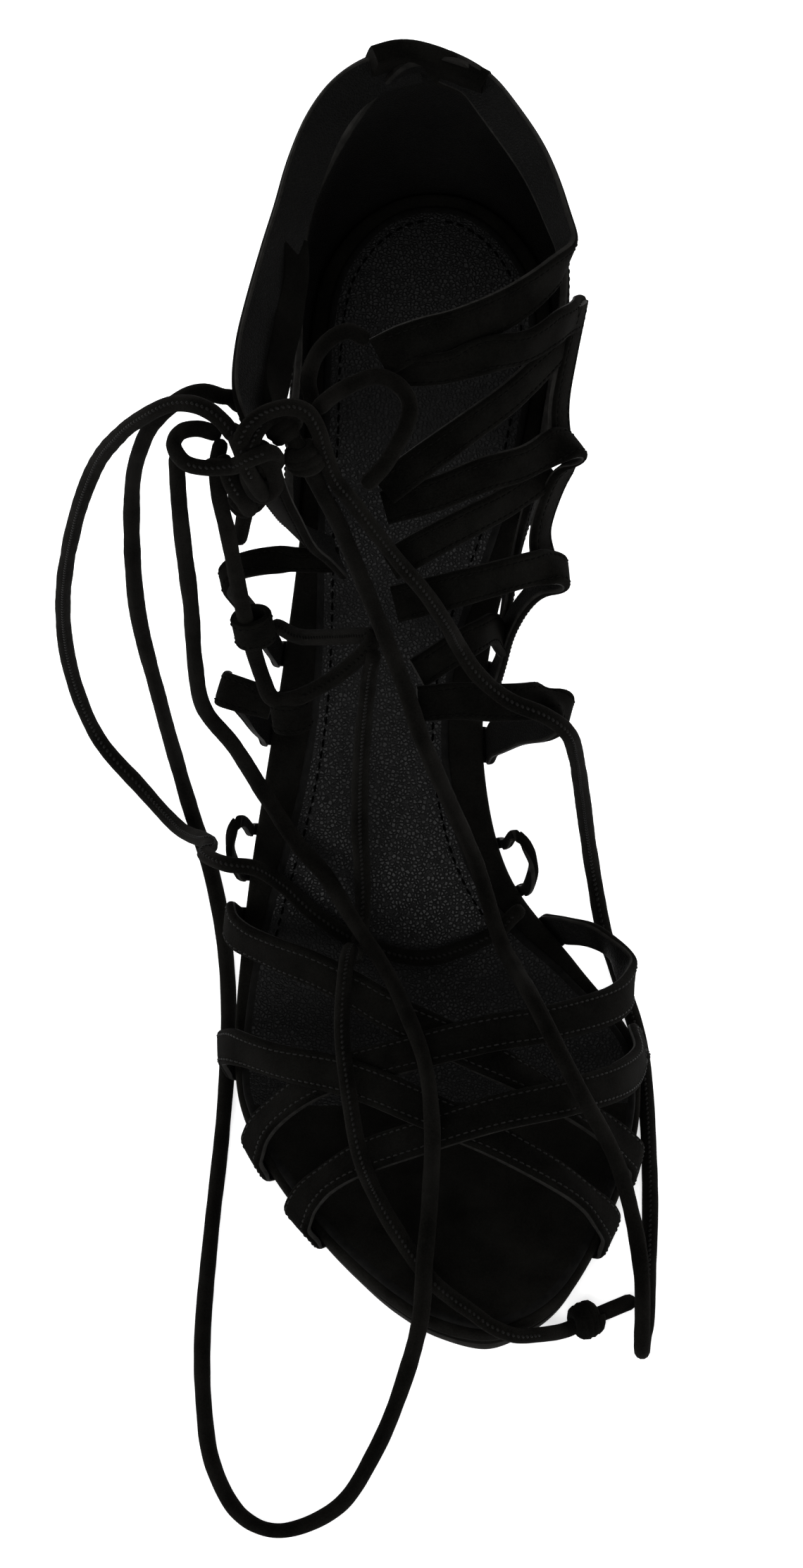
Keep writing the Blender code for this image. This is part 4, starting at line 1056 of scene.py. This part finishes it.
def make_counter(upper, threads):
    """The heel counter: a wall round the heel that turns under the insole at its foot."""
    edge = smooth(COUNTER_EDGE, 8)
    rings, row, row_outs = [], [], []
    for is_medial, back in counter_stations():
        key = 2 * SHOE_LENGTH - back if is_medial else back
        tall = float(np.interp(key, *edge.T))
        place, outward, normal = edge_frame(is_medial, back)
        level = unit(np.array([outward[0], outward[1], 0.0]))
        inner, outer = [], []
        for share in COUNTER_LEVELS:
            rise = tall * share
            out = counter_out(rise)
            inwards, drop = COUNTER_ROUNDING.get(share, (0.0, 0.0))
            for wall, reach in ((inner, out + inwards), (outer, out + COUNTER_THICK - inwards)):
                wall.append(place + level * reach + (0.0, 0.0, rise) + (0.0, 0.0, drop))
        high, low = FLANGE_DEPTHS
        flange = [
            place + outward * COUNTER_GAP - normal * high,
            place - outward * FLANGE_REACH - normal * high,
            place - outward * FLANGE_REACH - normal * low,
            place + outward * FLANGE_CORNER - normal * low,
            place + outward * (COUNTER_GAP + COUNTER_THICK) - normal * MARGIN_DEPTHS[0],
        ]
        rings.append(inner + flange + outer[::-1])
        rise = max(tall - COUNTER_ROW_DROP, tall * 0.6)
        row.append(place + level * (counter_out(rise) + COUNTER_THICK + 0.05) + (0, 0, rise))
        row_outs.append(level)
    count = len(COUNTER_LEVELS)
    zones = [1, 1] + [2] * (count - 2) + [0] * (count + 3) + [1, 1]
    upper.add(*rings_body(rings, zones, 1))
    stitch_row(threads, np.array(row), np.array(row_outs), 1, start=COUNTER_ROW_ENDS,
               end=COUNTER_ROW_ENDS)


def make_upper():
    upper, threads = Heap(), Heap()
    make_margin(upper)
    make_counter(upper, threads)
    for seed, (name, strap) in enumerate(STRAPS.items()):
        tone = 0 if name.startswith("toe_strap") else 1
        zones = (0, 0, 0) if name in ("heel_tunnel", "collar_facing") else (0, 1, 2)
        make_strap(upper, threads, tone, zones, seed, **strap)
    upper.piece("upper_straps", [SUEDE, CUT_EDGE, LINING], "upper", "suede", 50.0)
    threads.piece("upper_stitches", [THREAD, DARK_THREAD], slot="suede")


# ---- laces

LACE_RADIUS = LACE_DIAMETER / 2
LACE_SIDES = 12
LACE_STATION = 0.8
FLOOR_CLEARANCE = 0.05


def add_lace(heap, rings):
    """Adds a round body that rests on the floor where it would dip below it."""
    points, faces, marks = rings_body(rings)
    points[:, 2] = np.maximum(points[:, 2], FLOOR_CLEARANCE)
    heap.add(points, faces, marks)


def lace_path(rows, spacing):
    """The lace's middle line, at even steps."""
    return resampled(spacing, smooth(rows, 24))[0]


def lace_frames(rows):
    """Stations along a lace with a frame that doesn't twist."""
    places = lace_path(rows, LACE_STATION)
    along = directions(places)
    upright = np.array([0.0, 0.0, 1.0])
    guide = upright if abs(along[0] @ upright) < 0.9 else np.array([1.0, 0.0, 0.0])
    frames = []
    for heading in along:
        guide = unit(guide - heading * (guide @ heading))
        frames.append((guide, unit(np.cross(heading, guide))))
    return places, along, frames


def lace_body(heap, rows, seams, seed):
    """A round rolled lace, with its sewn seam showing on the stretches in seams."""
    places, along, frames = lace_frames(rows)
    run = run_of(places)
    thin = 1.0 + 0.05 * wander(places, 6.0, seed) + 0.02 * wander(places, 1.7, seed + 3)
    rings = []
    for i, place in enumerate(places):
        a, b = frames[i]
        flat = 0.05 * math.sin(run[i] / 17.0 + seed)
        ring = []
        for k in range(LACE_SIDES):
            angle = 2 * math.pi * k / LACE_SIDES
            reach = LACE_RADIUS * thin[i] * (1 + flat * math.cos(2 * angle))
            ring.append(place + (a * math.cos(angle) + b * math.sin(angle)) * reach)
        rings.append(ring)
    for end, sign in ((0, -1.0), (-1, 1.0)):
        ring = np.array(rings[end])
        centre = ring.mean(axis=0)
        dome = [
            centre + (ring - centre) * share + along[end] * sign * LACE_RADIUS * out
            for share, out in ((0.86, 0.55), (0.5, 0.9))
        ]
        rings = [*dome[::-1], *rings] if sign < 0 else [*rings, *dome]
    add_lace(heap, rings)
    view = unit(np.array(CAMERA_PLACE) - places.mean(axis=0))
    for start, end, lean in seams:
        keep = [i for i in range(len(places)) if start <= run[i] / run[-1] <= end]
        outs = units(
            rolled(unit(view - along[i] * (view @ along[i])), along[i], lean) for i in keep
        )
        stitch_row(heap, places[keep] + outs * (LACE_RADIUS * 0.97), outs, 1, **LACE_STITCH)
    return places


OVERHAND_STEPS = 18
OVERHAND_SIDES = 10
OVERHAND_REACH = 2.4
OVERHAND_LENGTH = 3.4
OVERHAND_SLANT = 0.5
OVERHAND_RADIUS = 1.6


def overhand(heap, places, at, turns):
    """A tight knot in a lace: a few slanted turns of it, wound round the place given."""
    centre, axis = places[at], directions(places)[at]
    side = unit(np.cross(axis, (0.0, 0.0, 1.0)))
    over = unit(np.cross(side, axis))
    wound = []
    count = int(turns * OVERHAND_STEPS)
    for i in range(count + 1):
        angle = 2 * math.pi * i / OVERHAND_STEPS
        share = i / count - 0.5
        shift = axis * (share * OVERHAND_LENGTH + OVERHAND_SLANT * math.sin(angle))
        round_it = side * math.cos(angle) + over * math.sin(angle)
        wound.append(centre + shift + round_it * (OVERHAND_REACH - 0.5 * abs(share)))
    wound = np.array(wound)
    rings = []
    for place, heading in zip(wound, directions(wound)):
        a = unit(place - centre - axis * ((place - centre) @ axis))
        b = unit(np.cross(heading, a))
        turn = circle(OVERHAND_SIDES)
        rings.append([place + (a * c + b * s) * OVERHAND_RADIUS for c, s in turn])
    add_lace(heap, rings)


def free_lace(node, name, seed, rows, far_end=None, seams=(), knots=()):
    heap = Heap()
    places = lace_body(heap, rows, seams, seed)
    run = run_of(places)
    for distance, turns in knots:
        at = int(np.searchsorted(run, distance if distance >= 0 else run[-1] + distance))
        overhand(heap, places, at, turns)
    made = heap.piece(name, [SUEDE_LACE, LACE_THREAD], node, "lace_cord", 60.0)
    if far_end is None:
        return


def make_laces():
    heap = Heap()
    lace_body(heap, LACE_CROSSINGS, ((0.0, 0.45, 0.0),), 2)
    heap.piece("lace_laced", [SUEDE_LACE, DARK_THREAD], "lace_crossings", "lace_cord", 60.0)
    for node, stretch in FREE_LACE.items():
        free_lace(node, **stretch)


# The windings of the bow's knot.
KNOT_TURNS = (
    # each row: side, back, height
    ((-31.8, 123.6, 157), (-34.1, 119.4, 158.6), (-35.7, 115.5, 157.6), (-36.4, 113.8, 153),
     (-35.6, 113.3, 147.5), (-33.4, 113.1, 145), (-31, 113.3, 148), (-31.6, 113.7, 153.5),
     (-33.5, 114.6, 156.5)),
    ((-43.4, 116.2, 150.5), (-39.2, 113.4, 154.5), (-35.4, 112.9, 158), (-31.9, 114.9, 157),
     (-30.8, 116.1, 152), (-33.6, 115.6, 149), (-38, 115.3, 148)),
    ((-39, 120.6, 156), (-37.6, 115.2, 157.5), (-36.2, 112, 155), (-33.9, 112.3, 148),
     (-32.6, 114, 143.5)),
    ((-40.9, 116.8, 151), (-39.3, 113.6, 148), (-37.5, 113.1, 144), (-36.2, 114.2, 139)),
)


def make_knot():
    heap = Heap()
    for seed, rows in enumerate(KNOT_TURNS, 20):
        lace_body(heap, rows, ((0.1, 0.5, 0.4),), seed)
    heap.piece("lace_knot", [SUEDE_LACE, LACE_THREAD], slot="lace_cord", shade=60.0)


# The leather keepers that the lateral lace passes through.
KEEPERS = (
    # side, back, height, along the lace in three numbers, half width, half depth, length
    (-35.8, 109.4, 105.0, -0.14, 0.13, 0.98, 4.0, 2.9, 7.4),
    (-28.6, 104.2, 82.6, -0.10, 0.30, 0.95, 3.9, 2.7, 7.6),
)
KEEPER_SECTION = (
    # share of the length, outwards
    (-0.5, -1.1), (-0.5, 0.0), (-0.44, 0.16), (-0.2, 0.1), (0.2, 0.1), (0.44, 0.16), (0.5, 0.0),
    (0.5, -1.1),
)
KEEPER_ROWS = (-0.36, 0.36)
KEEPER_SIDES = 40


def make_keepers():
    upper, threads = Heap(), Heap()
    for keeper in KEEPERS:
        middle, along = np.array(keeper[:3]), unit(np.array(keeper[3:6]))
        wide, deep, length = keeper[6:]
        across = unit(np.cross(along, unit(np.array(CAMERA_PLACE) - middle)))
        out = unit(np.cross(across, along))
        rings, lines, outs = [], ([], []), []
        for c, s in circle(KEEPER_SIDES):
            round_it = across * c * wide + out * s * deep
            outs.append(unit(across * c / wide + out * s / deep))
            rings.append([
                middle + round_it + outs[-1] * grow + along * share * length
                for share, grow in KEEPER_SECTION
            ])
            for line, share in zip(lines, KEEPER_ROWS):
                line.append(middle + round_it + outs[-1] * 0.16 + along * share * length)
        upper.add(*rings_body(rings, closed=True))
        for line in lines:
            stitch_row(threads, np.array(line), np.array(outs), **KEEPER_STITCH)
    upper.piece("lace_keepers", [SUEDE], slot="suede")
    threads.piece("keeper_stitches", [DARK_THREAD], slot="suede")


# ---- scene


def make_camera():
    camera = bpy.data.cameras.new("photo_camera")
    camera.sensor_fit = "VERTICAL"
    camera.sensor_height = 36.0
    camera.lens = CAMERA_LENS
    camera.shift_x, camera.shift_y = CAMERA_SHIFT
    camera.clip_start, camera.clip_end = 0.1, 20.0
    made = linked("photo_camera", camera)
    made.location = tuple(in_frame(CAMERA_PLACE))
    made.rotation_euler = (math.radians(CAMERA_TILT), 0.0, 0.0)
    bpy.context.scene.camera = made


# The soft lights, metres and watts.  One that doesn't shine leaves no glare on leather.
LIGHTS = (
    # name, place, aim, size, power, shines
    ("top", (-0.3, 0.2, 2.0), (0.0, 0.0, 0.05), (1.8, 1.8), 11.0, True),
    ("left", (-2.3, 0.2, 0.26), (0.0, 0.0, 0.08), (1.4, 0.5), 45.0, False),
    ("right", (2.3, 0.2, 0.26), (0.0, 0.0, 0.08), (1.4, 0.5), 55.0, False),
    ("back", (0.2, 2.3, 0.45), (0.0, 0.0, 0.08), (1.4, 0.5), 60.0, False),
    ("front", (-0.2, -1.3, 1.1), (0.0, 0.0, 0.06), (1.2, 0.6), 18.0, True),
)
FLOOR_SIZE = 6.0
FLOOR_GREY = 0.93
FLOOR_GLOW = 0.62
WORLD_STRENGTH = 0.30
WHITE = (1.0, 1.0, 1.0, 1.0)


def area_light(name, place, aim, size, power, shines):
    light = bpy.data.lights.new(name, "AREA")
    light.shape = "RECTANGLE"
    light.size, light.size_y = size
    light.energy = power
    made = linked(name, light)
    made.location = place
    way = np.array(aim) - np.array(place)
    tilt = math.atan2(math.hypot(way[0], way[1]), -way[2])
    made.rotation_euler = (tilt, 0.0, math.atan2(way[1], way[0]) - math.pi / 2)
    made.visible_glossy = shines


def make_room():
    size = FLOOR_SIZE
    mesh = bpy.data.meshes.new("floor")
    corners = [(-size, -size, 0), (size, -size, 0), (size, size, 0), (-size, size, 0)]
    mesh.from_pydata(corners, [], [(0, 1, 2, 3)])
    mesh.materials.append(Nodes("pale_floor").finish(
        Base_Color=(FLOOR_GREY, FLOOR_GREY, FLOOR_GREY, 1.0),
        Roughness=0.8,
        Emission_Color=WHITE,
        Emission_Strength=FLOOR_GLOW,
    ))
    linked("floor", mesh)
    world = bpy.data.worlds.new("studio")
    world.use_nodes = True
    background = world.node_tree.nodes["Background"]
    background.inputs["Color"].default_value = WHITE
    background.inputs["Strength"].default_value = WORLD_STRENGTH
    bpy.context.scene.world = world
    bpy.context.scene.view_settings.view_transform = "Standard"
    for row in LIGHTS:
        area_light(*row)


make_camera()
make_laces()
make_knot()
make_sole()
make_heel()
make_upper()
make_keepers()
make_sock_stitches()
make_room()
